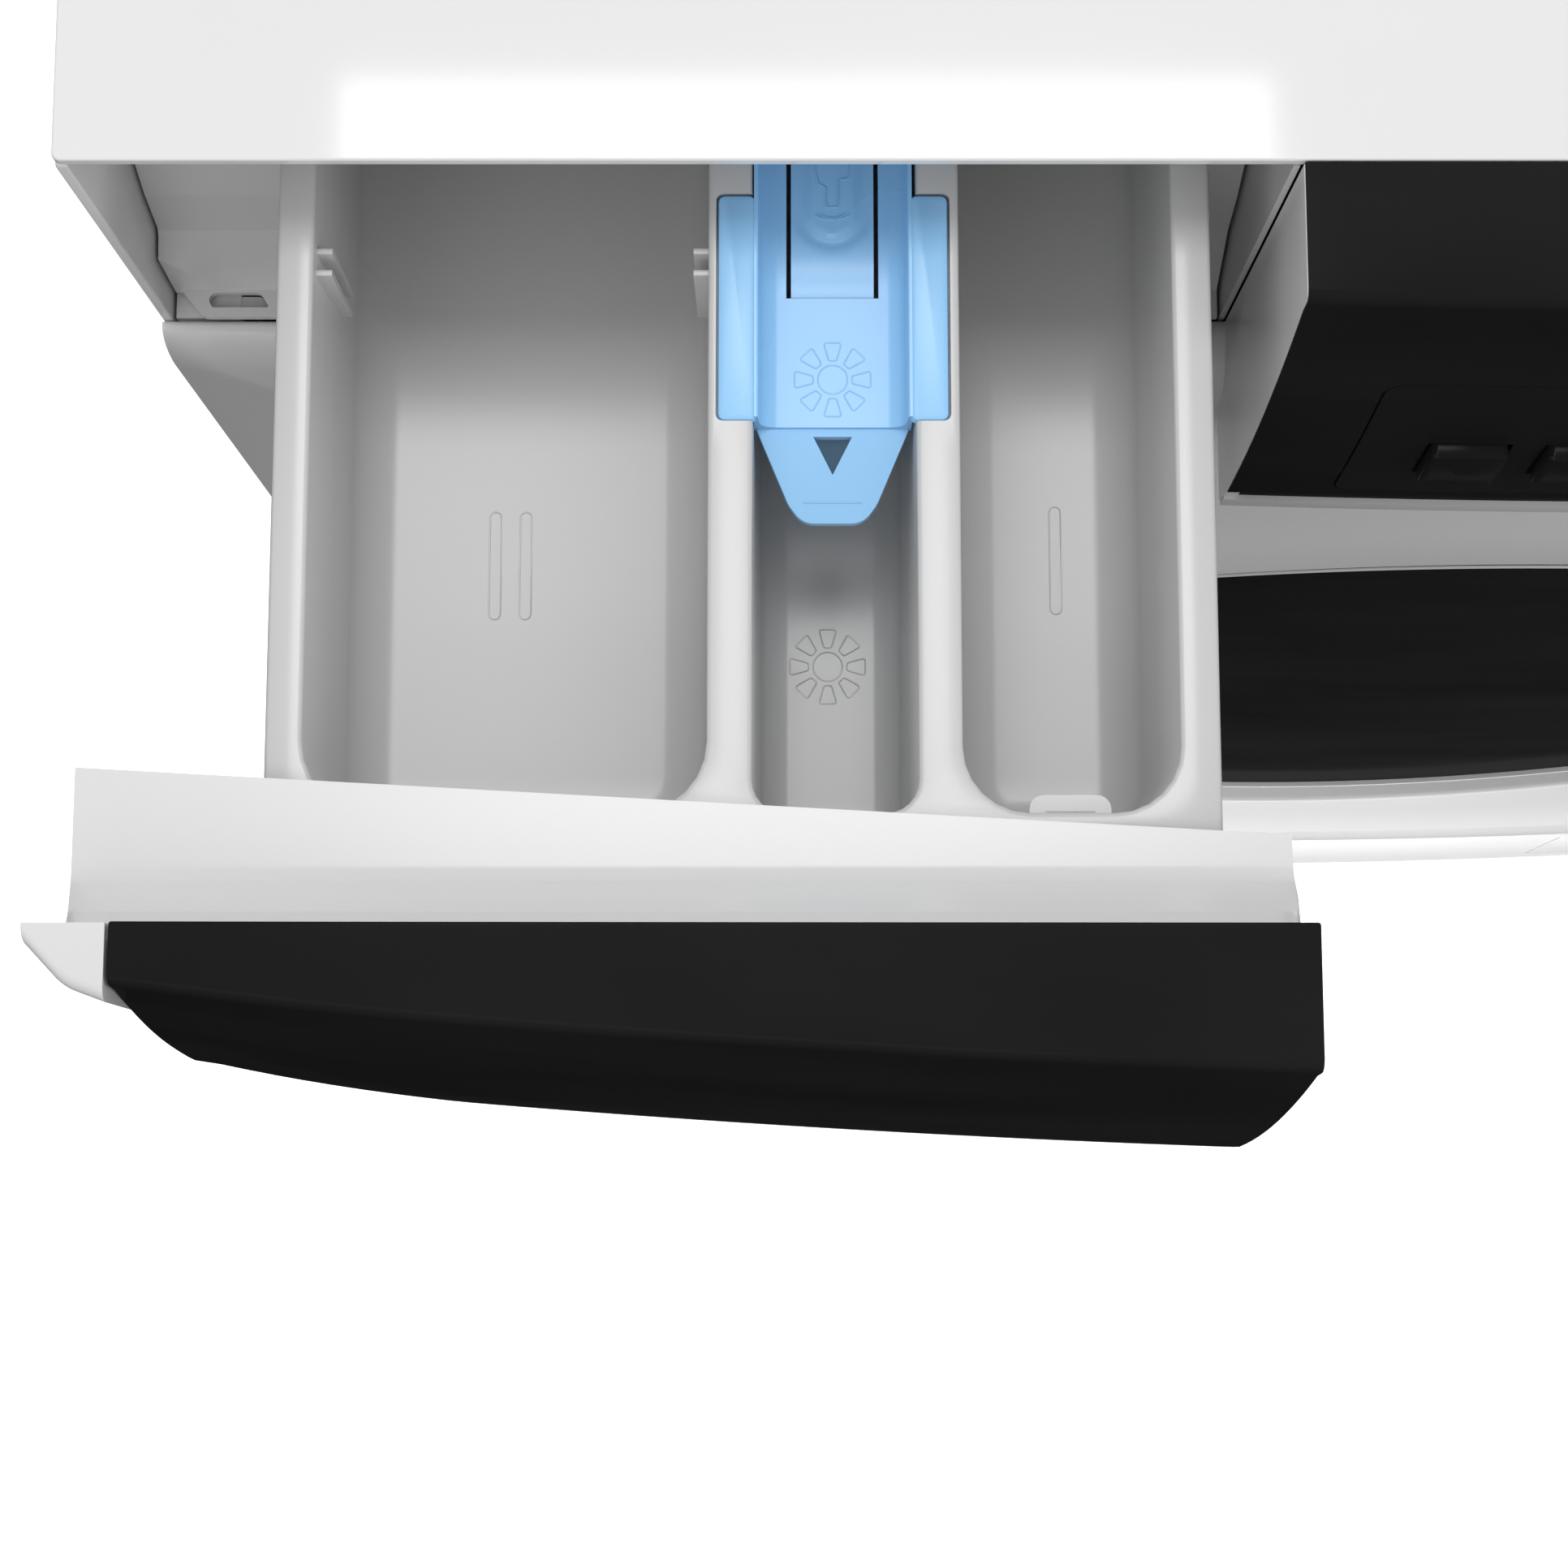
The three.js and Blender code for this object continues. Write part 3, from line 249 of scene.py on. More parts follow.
# ---------------------------------------------------------------- mesh making
class Form:
    """Closed surfaces under construction, as points in millimetres and faces."""

    def __init__(self):
        self.points, self.faces = [], []

    def ring(self, points):
        first = len(self.points)
        self.points += [tuple(p) for p in points]
        return list(range(first, len(self.points)))

    def skin(self, rings, closed=True):
        """Four-sided faces between each ring and the next."""
        for a, b in zip(rings, rings[1:]):
            for i in range(len(a) if closed else len(a) - 1):
                j = (i + 1) % len(a)
                self.faces.append((a[i], a[j], b[j], b[i]))
        return self

    def loft(self, rings):
        """A closed body: rings of points joined in turn, with a flat face on each end."""
        made = [self.ring(r) for r in rings]
        self.skin(made)
        self.faces += [tuple(made[0]), tuple(made[-1])]
        return self

    def web(self, loops):
        """Flat faces between an outer loop and the holes inside it."""
        flat = [i for loop in loops for i in loop]
        for corners in tessellate_polygon([[Vector(self.points[i]) for i in loop] for loop in loops]):
            self.faces.append(tuple(flat[k] for k in corners))
        return self

    def prism(self, outline, low, high, axis="z"):
        """A flat outline pushed along an axis."""
        return self.loft([[along(axis, a, b, t) for a, b in outline] for t in (low, high)])

    def pierced(self, outline, holes, low, high, axis="z"):
        """A prism with holes through it."""
        ends = []
        for t in (low, high):
            loops = [self.ring([along(axis, a, b, t) for a, b in loop]) for loop in (outline, *holes)]
            ends.append(loops)
            self.web(loops)
        for a, b in zip(*ends):
            self.skin([a, b])
        return self

    def box(self, x0, x1, y0, y1, z0, z1):
        return self.prism([(x0, y0), (x1, y0), (x1, y1), (x0, y1)], z0, z1)

    def turned(self, outline, axis="y", centre=(0.0, AXIS_Z), sides=96):
        """An outline of (radius, place along the axis) turned round the axis."""
        on_axis = abs(outline[0][0]) < 1e-6 and abs(outline[-1][0]) < 1e-6
        rings = []
        for k in range(sides):
            c, s = math.cos(2 * math.pi * k / sides), math.sin(2 * math.pi * k / sides)
            rings.append(self.ring([along(axis, centre[0] + r * c, centre[1] + r * s, t) for r, t in outline]))
        return self.skin(rings + rings[:1], closed=not on_axis)

    def tube(self, path, radius, sides=8, closed=False):
        """A round bar along a path."""
        path = [Vector(p) for p in path]
        count, side, rings = len(path), None, []
        for i, point in enumerate(path):
            after = path[(i + 1) % count] if closed or i < count - 1 else point
            before = path[i - 1] if closed or i > 0 else point
            heading = (after - before).normalized()
            side = heading.orthogonal() if side is None else side - heading * side.dot(heading)
            side.normalize()
            other = heading.cross(side)
            turns = [2 * math.pi * k / sides for k in range(sides)]
            spokes = [math.cos(a) * side + math.sin(a) * other for a in turns]
            rings.append(self.ring([point + radius * spoke for spoke in spokes]))
        if closed:
            return self.skin(rings + rings[:1])
        self.skin(rings)
        self.faces += [tuple(rings[0]), tuple(rings[-1])]
        return self

    def add(self, other):
        """Takes in another form."""
        first = len(self.points)
        self.points += other.points
        self.faces += [tuple(first + i for i in face) for face in other.faces]
        return self


def along(axis, a, b, t):
    """The point (a, b) of a flat outline, at t along the axis that it is pushed along."""
    return {"x": (t, a, b), "y": (a, t, b), "z": (a, b, t)}[axis]


def rounded(corners, radius=0.0, steps=5):
    """A closed outline with rounded corners. A corner is (a, b), or (a, b, its own radius)."""
    outline = []
    for i, corner in enumerate(corners):
        here = Vector(corner[:2])
        bend = corner[2] if len(corner) > 2 else radius
        if bend <= 0:
            outline.append(here)
            continue
        back = (Vector(corners[i - 1][:2]) - here).normalized()
        ahead = (Vector(corners[(i + 1) % len(corners)][:2]) - here).normalized()
        half = back.angle(ahead) / 2
        centre = here + (back + ahead).normalized() * (bend / math.sin(half))
        start = here + back * (bend / math.tan(half)) - centre
        turn = start.angle_signed(here + ahead * (bend / math.tan(half)) - centre)
        for k in range(steps + 1):
            outline.append(centre + Matrix.Rotation(-turn * k / steps, 2) @ start)
    return [tuple(p) for p in outline]


def rectangle(x0, x1, y0, y1, radius, steps=5):
    return rounded([(x0, y0), (x1, y0), (x1, y1), (x0, y1)], radius, steps)


def circle(x, z, radius, sides=48):
    turns = [2 * math.pi * k / sides for k in range(sides)]
    return [(x + radius * math.cos(a), z + radius * math.sin(a)) for a in turns]


def spaced(low, high, steps):
    return [low + (high - low) * k / steps for k in range(steps + 1)]


def unit(value):
    """A value held between 0 and 1."""
    return min(max(value, 0), 1)


def clean_mesh(form, name, shift=0.0, outward=True):
    bm = bmesh.new()
    corners = [bm.verts.new((x, y + shift, z)) for x, y, z in form.points]
    for face in form.faces:
        if len(set(face)) > 2:
            bm.faces.new([corners[i] for i in face])
    bmesh.ops.remove_doubles(bm, verts=bm.verts, dist=1e-3)
    bmesh.ops.dissolve_degenerate(bm, dist=1e-4, edges=bm.edges)
    bmesh.ops.transform(bm, matrix=TO_FRAME, verts=bm.verts)
    if outward:
        bmesh.ops.recalc_face_normals(bm, faces=bm.faces)
    mesh = bpy.data.meshes.new(name)
    bm.to_mesh(mesh)
    bm.free()
    return mesh


def new_object(name, mesh):
    made = bpy.data.objects.new(name, mesh)
    bpy.context.scene.collection.objects.link(made)
    return made


def carve(target, form, shift=0.0):
    """Cuts a form out of an object for good."""
    cutter = new_object("cutter", clean_mesh(form, "cutter", shift))
    cut = target.modifiers.new("cut", "BOOLEAN")
    cut.object, cut.operation, cut.solver = cutter, "DIFFERENCE", "EXACT"
    cut.use_self = True
    bpy.context.view_layer.update()
    ready = target.evaluated_get(bpy.context.evaluated_depsgraph_get())
    mesh = bpy.data.meshes.new_from_object(ready)
    target.modifiers.clear()
    target.data = mesh
    bpy.data.objects.remove(cutter)


def dress(made, body, look, bevel=0.0, steps=2, sharp=32.0, sheet=0.0):
    """Gives a piece its material, soft edges and body."""
    made.data.materials.clear()
    made.data.materials.append(look)
    made.data.shade_smooth()
    made.data.set_sharp_from_angle(angle=math.radians(sharp))
    if sheet:
        thick = made.modifiers.new("thickness", "SOLIDIFY")
        thick.thickness, thick.offset = sheet * MM, -1
    if bevel:
        edges = made.modifiers.new("soft_edges", "BEVEL")
        edges.width, edges.segments, edges.limit_method = bevel * MM, steps, "ANGLE"
        edges.angle_limit = math.radians(sharp)
        edges.use_clamp_overlap = True
        edges.harden_normals = True
    if isinstance(body, str):
        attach(made, body)
    else:
        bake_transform(made)
    return made


def piece(name, form, body, look, stands_for=(), bevel=0.0, steps=2, sharp=32.0,
          sheet=0.0, shift=0.0, cuts=(), outward=True):
    made = new_object(name, clean_mesh(form, name, shift, outward))
    for cut in cuts:
        carve(made, cut, shift)
    dress(made, body, look, bevel, steps, sharp, sheet)
    if stands_for:
        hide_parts(*([stands_for] if isinstance(stands_for, str) else stands_for))
    return made


# ---------------------------------------------------------------- the fascia's shape
def fascia_bow(x, y):
    """y on the bowed fascia: nothing at the worktop's edge, all of the bow from the crease forward."""
    return y + x * x / (2 * FASCIA_BOW_R) * unit(-y / 20)


def front_bow(x, y):
    return y + x * x / (2 * FRONT_BOW_R) * unit(-y / 17)


def unbowed(x, y):
    return y


def fascia_face(z):
    """y of the fascia's leaning face on the middle plane."""
    top_z, drop = 845.8, 88.8
    t = (top_z - z) / drop
    return -24.8 - 18.6 * t + 8 * t * t


def fascia_slice(outer, inner, foot=0.0):
    """A closed (y, z) slice of the fascia between two depths under its surface."""
    low = FASCIA_BOTTOM_Z
    heights = spaced(842, low, 12)
    front = [(-0.3, TOP_Z - outer), (-25.2 + outer, TOP_Z - outer, max(0.6, 2.4 - outer))]
    front += [(fascia_face(z) + outer, z) for z in heights[:-1]]
    front += [(fascia_face(low) + outer + foot, low)]
    back = [(fascia_face(z) + inner, z) for z in reversed(heights)]
    back += [(-25.2 + inner, TOP_Z - inner, 0.6), (-0.3, TOP_Z - inner)]
    return rounded(front + back)


def swept(slice_at, stations, bow=fascia_bow):
    """A form with its slice swept along X; slice_at is a (y, z) outline or a function of x."""
    rings = []
    for x in stations:
        outline = slice_at(x) if callable(slice_at) else slice_at
        rings.append([(x, bow(x, y), z) for y, z in outline])
    return Form().loft(rings)


def fascia_spot(x, z):
    """A matrix that puts its z axis out of the fascia's surface at x, z, in millimetres."""
    y = fascia_face(z) + x * x / (2 * FASCIA_BOW_R)
    slope = (fascia_face(z + 1) - fascia_face(z - 1)) / 2
    out = Vector((x / FASCIA_BOW_R, -1, slope)).normalized()
    across = (Vector((1, 0, 0)) - out * out.x).normalized()
    up = out.cross(across)
    turn = Matrix((across, up, out)).transposed().to_4x4()
    return Matrix.Translation((x, y, z)) @ turn


def placed(form, matrix):
    form.points = [tuple(matrix @ Vector(p)) for p in form.points]
    return form


# ---------------------------------------------------------------- cabinet
EDGE_BEND, GROOVE_BEND = 1, 30


def grooved_sheet(form, place, a0, a1, b0, b1, inset):
    """A sheet with a pressed groove round it; place(a, b, depth) gives a point."""
    groove = [(0, 0), (2, 0.5), (5, 1.7), (10, 1.7), (13, 0.5), (15, 0)]
    rings = []
    for shrink, depth in [(0, 0)] + [(inset + across, depth) for across, depth in groove]:
        radius = EDGE_BEND if shrink == 0 else GROOVE_BEND
        ring = rectangle(a0 + shrink, a1 - shrink, b0 + shrink, b1 - shrink, radius, 6)
        rings.append(form.ring([place(a, b, depth) for a, b in ring]))
    form.skin(rings)
    form.faces.append(tuple(rings[-1]))
    return form


def add_worktop():
    plate = Form().prism(rectangle(-HALF_WIDTH, HALF_WIDTH, 0, REAR_Y + 1, 1.4, 6), UNDER_LIP_Z, TOP_Z)
    board = [(-92, 30), (296, 30), (296, 543), (-296, 543), (-296, 245), (-92, 245)]
    plate.add(Form().prism(rounded(board, 2, 3), 833, UNDER_LIP_Z + 0.2))
    piece("worktop_top", plate, "cabinet", WHITE_LAMINATE, "worktop", bevel=0.5, steps=4)


def add_side_panels():
    for name, side in (("left_side", -1), ("right_side", 1)):
        wall = side * HALF_WIDTH
        low, high = BASE_Z, UNDER_LIP_Z - 0.3
        face = grooved_sheet(Form(), lambda a, b, d: (wall - side * d, a, b), 0, REAR_Y, low, high, 62)
        back = side * (HALF_WIDTH - 2)
        outer = rectangle(0, REAR_Y, low, high, EDGE_BEND, 6)
        inside = face.ring([(back, a, b) for a, b in outer])
        face.skin([list(range(len(outer))), inside])
        face.faces.append(tuple(inside))
        flange_in, flange_out = sorted((back, side * 279))
        face.box(flange_in, flange_out, REAR_Y - 1.5, REAR_Y, low, high)
        bracket_in, bracket_out = sorted((back, side * 226))
        face.box(bracket_in, bracket_out, 252, 272, 801, 807)
        piece(name, face, "cabinet", WHITE_PAINT, f"{name}_panel", bevel=0.45, steps=3)


def add_rear():
    half, high = 278.5, UNDER_LIP_Z - 0.3
    sheet = grooved_sheet(Form(), lambda a, b, d: (a, REAR_Y - d, b), -half, half, BASE_Z, high, 24)
    outer = rectangle(-half, half, BASE_Z, high, EDGE_BEND, 6)
    inside = sheet.ring([(a, REAR_Y - 2.8, b) for a, b in outer])
    sheet.skin([list(range(len(outer))), inside])
    sheet.faces.append(tuple(inside))
    holes = [(0, 400, 190), (-170, 800, 14), (200, 800, 10), (-240, 700, 13)]
    cuts = [Form().prism(circle(x, z, r, 64), 500, 600, "y") for x, z, r in holes]
    piece("rear_sheet", sheet, "cabinet", WHITE_PAINT, "rear_panel", bevel=0.4, cuts=cuts)

    outside, inside = DEPTH_BACK, DEPTH_BACK - 1.4
    cover = rounded([(0, outside), (60, outside), (64, outside - 2, 2), (72, outside - 2, 2), (76, outside, 2),
                     (170, outside, 3), (186, REAR_Y + 1.8, 3), (200, REAR_Y + 1.8), (200, REAR_Y + 0.5),
                     (184, REAR_Y + 0.5, 3), (168, inside, 3), (77, inside, 2), (73, inside - 2, 2),
                     (63, inside - 2, 2), (59, inside, 2), (0, inside)])
    disc = Form().turned(cover, centre=(0, 400))
    for k in range(6):
        a = math.pi * (k + 0.5) / 3
        head = rounded([(0, REAR_Y + 4.2), (3.2, REAR_Y + 4.2, 1), (4.4, REAR_Y + 1.9), (0, REAR_Y + 1.9)])
        disc.turned(head, centre=(193 * math.cos(a), 400 + 193 * math.sin(a)), sides=16)
    piece("rear_disc", disc, "cabinet", ZINC_SHEET, "rear_cover")


def add_front_panel():
    """The bowed front sheet with its rounded top, its door hole and the dish behind the door."""
    sheet = Form()
    spokes = 192
    hole, outer = [], []
    top = FRONT_TOP_Z - 13
    for k in range(spokes):
        a = 2 * math.pi * k / spokes
        c, s = math.cos(a), math.sin(a)
        tall = top - AXIS_Z if s > 0 else AXIS_Z - FRONT_BOTTOM_Z
        reach = min(HALF_WIDTH / max(abs(c), 1e-9), tall / max(abs(s), 1e-9))
        hole.append((c, s))
        outer.append((reach * c, AXIS_Z + reach * s))
    for corner in [(x, z) for z in (top, FRONT_BOTTOM_Z) for x in (-HALF_WIDTH, HALF_WIDTH)]:
        near = min(range(spokes), key=lambda i: math.dist(outer[i], corner))
        outer[near] = corner
    lip = 2.0
    rings = []
    for radius, depth in ((162, 29.5), (DOOR_HOLE_R - 4, 29.5), (DOOR_HOLE_R - 1, 28.3), (DOOR_HOLE_R, 25.5)):
        rings.append(sheet.ring([(radius * c, FRONT_Y + depth, AXIS_Z + radius * s) for c, s in hole]))
    for k in range(5):
        a = math.pi / 2 * k / 4
        radius, depth = DOOR_HOLE_R + lip * (1 - math.cos(a)), lip * (1 - math.sin(a))
        rings.append(sheet.ring([(radius * c, front_bow(radius * c, FRONT_Y) + depth, AXIS_Z + radius * s)
                                 for c, s in hole]))
    rim = DOOR_HOLE_R + lip
    for share in (0.25, 0.5, 0.75, 1):
        ring = []
        for (c, s), (x, z) in zip(hole, outer):
            px = rim * c + (x - rim * c) * share
            pz = AXIS_Z + rim * s + (z - AXIS_Z - rim * s) * share
            ring.append((px, front_bow(px, FRONT_Y), pz))
        rings.append(sheet.ring(ring))
    sheet.skin(rings)

    top_edge = sorted((i for i, (_, z) in enumerate(outer) if abs(z - top) < 1e-6), key=lambda i: outer[i][0])
    columns = [outer[i][0] for i in top_edge]
    rows = [[rings[-1][i] for i in top_edge]]
    for k in range(1, 9):
        a = math.pi / 2 * k / 8
        y, z = -4 - 13 * math.cos(a), top + 13 * math.sin(a)
        rows.append(sheet.ring([(x, front_bow(x, y), z) for x in columns]))
    rows.append(sheet.ring([(x, -0.5, FRONT_TOP_Z) for x in columns]))
    sheet.skin(rows, closed=False)
    made = piece("front_sheet", sheet, "cabinet", WHITE_PAINT, "front_panel", sheet=1.4)
    face_front(made)


def face_front(made):
    """Turns an open sheet's faces so that its front looks out along -Y."""
    ahead = sum(f.normal.y * f.area for f in made.data.polygons)
    if ahead > 0:
        made.data.flip_normals()


def add_kick_panel():
    def strip(x0, x1, z0, z1, steps):
        back = FRONT_Y + 1.5
        outline = rounded([(FRONT_Y, z0, 0.5), (FRONT_Y, z1, 0.5), (back, z1), (back, z0)], steps=3)
        return swept(outline, spaced(x0, x1, steps), front_bow)
    kick = strip(-HALF_WIDTH, HALF_WIDTH, BASE_Z + 1, FRONT_BOTTOM_Z - 0.6, 48)
    for side in (-1, 1):
        x0, x1 = sorted((side * HALF_WIDTH, side * (HALF_WIDTH - 1.5)))
        kick.box(x0, x1, -5, -0.4, BASE_Z + 1, 96)
    hole = Form().prism(rectangle(150, 270, 30, 90, 3), -40, 5, "y")
    piece("kick_strip", kick, "cabinet", WHITE_PAINT, "kick_panel", cuts=[hole])
    flap = strip(150.8, 269.2, 31, 89.4, 24)
    finger = Form().prism(rectangle(200, 220, 82, 95, 4), -40, 5, "y")
    piece("filter_door", flap, "filter_flap", WHITE_PAINT, "filter_flap", cuts=[finger])


# ---------------------------------------------------------------- fascia and its controls
def add_fascia():
    right = HALF_WIDTH - END_CAP
    stations = spaced(FASCIA_LEFT, right - 0.3, 64)
    skin = swept(fascia_slice(0, SKIN, foot=1.2), stations)
    window = Form().prism(rectangle(-76.9, 262.4, 765.6, 818.4, 4.4), -80, -15, "y")
    piece("fascia_glass", skin, "cabinet", BLACK_GLOSS, "fascia_skin", bevel=0.45, steps=3,
          cuts=[window])

    def plate_slice(depth):
        heights = spaced(818, 766, 8)
        front = [(fascia_face(z) + depth, z) for z in heights]
        return front + [(fascia_face(z) + 2.0, z) for z in reversed(heights)]
    plate = swept(plate_slice(0), spaced(-76.5, 262, 48))
    around = [(-90, 755), (275, 755), (275, 830), (-90, 830)]
    round_off = Form().pierced(around, [rectangle(-76.5, 262, 766, 818, 4)], -80, 0, "y")
    holes = [placed(Form().box(-7.6, 7.6, -7.6, 7.6, -6, 6), fascia_spot(x, BUTTON_Z)) for x in BUTTON_X]
    screen = placed(Form().prism(rectangle(-32, 32, -12, 12, 2), -0.5, 3), fascia_spot(85, 792))
    piece("control_face", plate, "cabinet", BLACK_PLATE, "control_plate", bevel=0.25,
          cuts=[round_off, *holes, screen])

    carrier = swept(fascia_slice(SKIN + 0.3, SKIN + 2.8), stations)
    low, lip_top = 751.5, FASCIA_BOTTOM_Z - 0.3
    lip_y = fascia_face(low)
    lip = rounded([(-0.5, low), (-0.5, low + 2), (lip_y + 3, low + 2), (lip_y + 3, lip_top),
                   (lip_y + 0.4, lip_top), (lip_y + 0.4, low, 0.8)])
    carrier.add(swept(lip, stations))
    end = rounded([(-0.5, low), (lip_y + 1.4, low, 1), (fascia_face(756) + 1, 756.5)]
                  + [(fascia_face(z) + 0.6, z) for z in spaced(760, 842, 10)]
                  + [(-24.6, TOP_Z - 0.6, 2), (-0.5, TOP_Z - 0.6)])
    carrier.add(swept(end, spaced(FASCIA_LEFT - 0.15, FASCIA_LEFT + 2.4, 2)))
    end_cap(carrier, right, HALF_WIDTH, low)
    wells = [placed(Form().box(-8.4, 8.4, -8.4, 8.4, -9, -1), fascia_spot(x, BUTTON_Z)) for x in BUTTON_X]
    piece("fascia_frame", carrier, "cabinet", WHITE_PLASTIC, "fascia_carrier", bevel=0.12,
          cuts=wells)

    for i, x in enumerate(BUTTON_X):
        cap = Form()
        rings = [(0, -1.4), (0, 1.7), (-0.35, 2.3), (-1.0, 2.6)]
        cap.loft([[(a, b, h) for a, b in rectangle(-7 - g, 7 + g, -7 - g, 7 + g, 1.2 + g * 0.5, 4)]
                  for g, h in rings])
        cap.tube([(*p, 2.6) for p in circle(0, 0, 1.4, 16)], 0.12, 6, True)
        piece(f"button_{i + 1}_cap", placed(cap, fascia_spot(x, BUTTON_Z)), f"button_{i + 1}", BLACK_PLATE,
              f"button_{i + 1}")

    grip = rounded([(0, 0.9), (KNOB_R, 0.9, 0.4), (KNOB_R, 4, 0.6), (KNOB_R - 1.6, 5, 0.4),
                    (KNOB_R - 2.4, 14.5, 1.6), (KNOB_R - 7, 16.5, 3), (0, 15.8)])
    knob = Form().turned(grip, "z", (0, 0), 120)
    for k in range(48):
        a = 2 * math.pi * k / 48
        c, s = math.cos(a), math.sin(a)
        foot, head = KNOB_R - 1.9, KNOB_R - 2.5
        knob.tube([(foot * c, foot * s, 5.2), (head * c, head * s, 13)], 0.45, 6)
    knob.turned([(0, -12), (4, -12), (4, 1), (0, 1)], "z", (0, 0), 24)
    place = fascia_spot(KNOB_X, KNOB_Z)
    piece("knob_dial", placed(knob, place), "program_knob", GREY_PLASTIC, "program_knob")
    pointer = Form().prism(rectangle(-0.6, 0.6, 12, 20, 0.5), 15.6, 16.6)
    piece("knob_pointer", placed(pointer, place), "program_knob", DARK_PLASTIC)
    ticks = Form()
    for k in range(16):
        a = 2 * math.pi * k / 16
        spoke = [(r * math.sin(a), r * math.cos(a), 0.05) for r in (26, 28)]
        ticks.tube(spoke, 0.25, 6)
    piece("knob_scale", placed(ticks, place), "cabinet", PALE_TICKS_AND_RIM_HIGHLIGHT)


# ---------------------------------------------------------------- detergent drawer
def half_ring(x0, x1, y0, y1, radius, z, straight=10, steps=6):
    """A rounded rectangle whose left and right points pair up, front to back."""
    left = []
    for k in range(steps + 1):
        a = math.pi / 2 * k / steps
        left.append((x0 + radius - radius * math.sin(a), y0 + radius - radius * math.cos(a)))
    left += [(x0, y) for y in spaced(y0 + radius, y1 - radius, straight)[1:-1]]
    for k in range(steps + 1):
        a = math.pi / 2 * k / steps
        left.append((x0 + radius - radius * math.cos(a), y1 - radius + radius * math.sin(a)))
    right = [(x0 + x1 - x, y) for x, y in reversed(left)]
    height = z if callable(z) else (lambda y: z)
    return [(x, y, height(y)) for x, y in left + right]


def add_room(tray, x0, x1, y0, y1, radius, floor_z, fillet):
    """One room of the tray, from its softened rim down to its sloping floor. Gives its rim ring."""
    crease, fall, draft = 112.0, 0.055, 1.2

    def height(z):
        share = (RIM_Z - z) / (RIM_Z - floor_z)
        return lambda y: z - share * fall * max(0.0, y - crease) ** 1.08
    levels = [(-0.8, RIM_Z), (-0.35, RIM_Z - 0.12), (-0.1, RIM_Z - 0.4), (0, RIM_Z - 0.9),
              (draft * 0.5, (RIM_Z + floor_z) / 2), (draft, floor_z + fillet)]
    for k in range(1, 7):
        a = math.pi / 2 * k / 6
        levels.append((draft + fillet * (1 - math.cos(a)), floor_z + fillet * (1 - math.sin(a))))
    rings = []
    for inset, z in levels:
        bend = max(radius - inset, radius * 0.35, 1.5)
        rings.append(tray.ring(half_ring(x0 + inset, x1 - inset, y0 + inset, y1 - inset, bend, height(z))))
    tray.skin(rings)
    last = rings[-1]
    count = len(last) // 2
    for k in range(count - 1):
        tray.faces.append((last[k], last[k + 1], last[-2 - k], last[-1 - k]))
    return rings[0]


def capsule(x, y0, y1, radius, z):
    """A closed path round a long mark."""
    turn = spaced(0, math.pi, 8)
    far = [(x + radius * math.cos(a), y1 - radius + radius * math.sin(a), z) for a in turn]
    near = [(x - radius * math.cos(a), y0 + radius - radius * math.sin(a), z) for a in turn]
    return far + near


def flower(form, x, y, z, size, line):
    """A round centre with eight petals, as raised outlines."""
    form.tube([(*p, z) for p in circle(x, y, size * 0.39, 32)], line, 6, True)
    for k in range(8):
        a = 2 * math.pi * k / 8
        c, s = math.cos(a), math.sin(a)
        corners = ((0.51, -0.10), (1, -0.235), (1, 0.235), (0.51, 0.10))
        petal = rounded([(size * u, size * v) for u, v in corners], size * 0.06, 3)
        form.tube([(x + c * u - s * v, y + s * u + c * v, z) for u, v in petal], line, 6, True)


def add_tray():
    floor_z = 777.0
    tray = Form()
    rings = [tray.ring(half_ring(-266 + g, -107.6 - g, 12 + g, 214 - g, max(3 - g, 1), z)) for g, z in
             ((2.5, 770), (1.2, 771), (0.9, 773), (0.1, RIM_Z - 1), (0.35, RIM_Z - 0.4), (0.9, RIM_Z))]
    tray.skin(rings)
    tray.faces.append(tuple(rings[0]))
    rooms = [add_room(tray, x0, x1, 20, 209, radius, floor_z, fillet) for x0, x1, radius, fillet in
             ((-259.7, -192.8, 12, 8), (-185.3, -157.7, 5.5, 5), (-150.4, -114.4, 11, 8))]
    tray.web([rings[-1], *rooms])

    pockets = [Form().prism(rectangle(x0, x1, 86.4, 126.2, 1.2), RIM_Z - 2.3, RIM_Z + 3) for x0, x1 in
               ((-191.5, -180), (-163, -151.9))]
    spouts = [Form().box(x0, x1, 200, 230, 786, 840) for x0, x1 in ((-250, -202), (-144, -121))]
    # The tray's darker plastic is painted shade inside its rooms.
    piece("tray", tray, "drawer", TRAY_PAINTED_SHADE_PLASTIC, "drawer_tray", bevel=0.3,
          shift=-DRAWER_OUT, cuts=pockets + spouts, sharp=40)

    marks = Form()
    for x, y0, y1 in ((-233.2, 62.4, 82.6), (-227.6, 62.4, 82.6), (-130.0, 63.4, 83.6)):
        marks.tube(capsule(x, y0, y1, 1.05, floor_z), 0.16, 6, True)
    flower(marks, -172.0, 53.6, floor_z, 6.9, 0.16)
    for x0, x1 in ((-260.2, -257.0), (-195.4, -192.4)):
        for y in (116.4, 112.6):
            rib = rounded([(y, RIM_Z - 3), (y, 800), (y + 1.1, 799), (y + 1.1, RIM_Z - 3)], 0.2, 2)
            marks.prism(rib, x0, x1, "x")
    tab = rounded([(-139.3, 19), (-125.7, 19), (-125.7, 23.4, 2.4), (-139.3, 23.4, 2.4)], 0, 5)
    marks.prism(tab, RIM_Z - 5, RIM_Z - 3.6)
    marks.box(-136.6, -128.4, 20.6, 20.9, RIM_Z - 3.6, RIM_Z - 3.3)
    piece("tray_marks", marks, "drawer", TRAY_PAINTED_SHADE_PLASTIC, shift=-DRAWER_OUT)


COVE_LEFT, COVE_RIGHT, COVE_END = -296.3, -97.0, 7


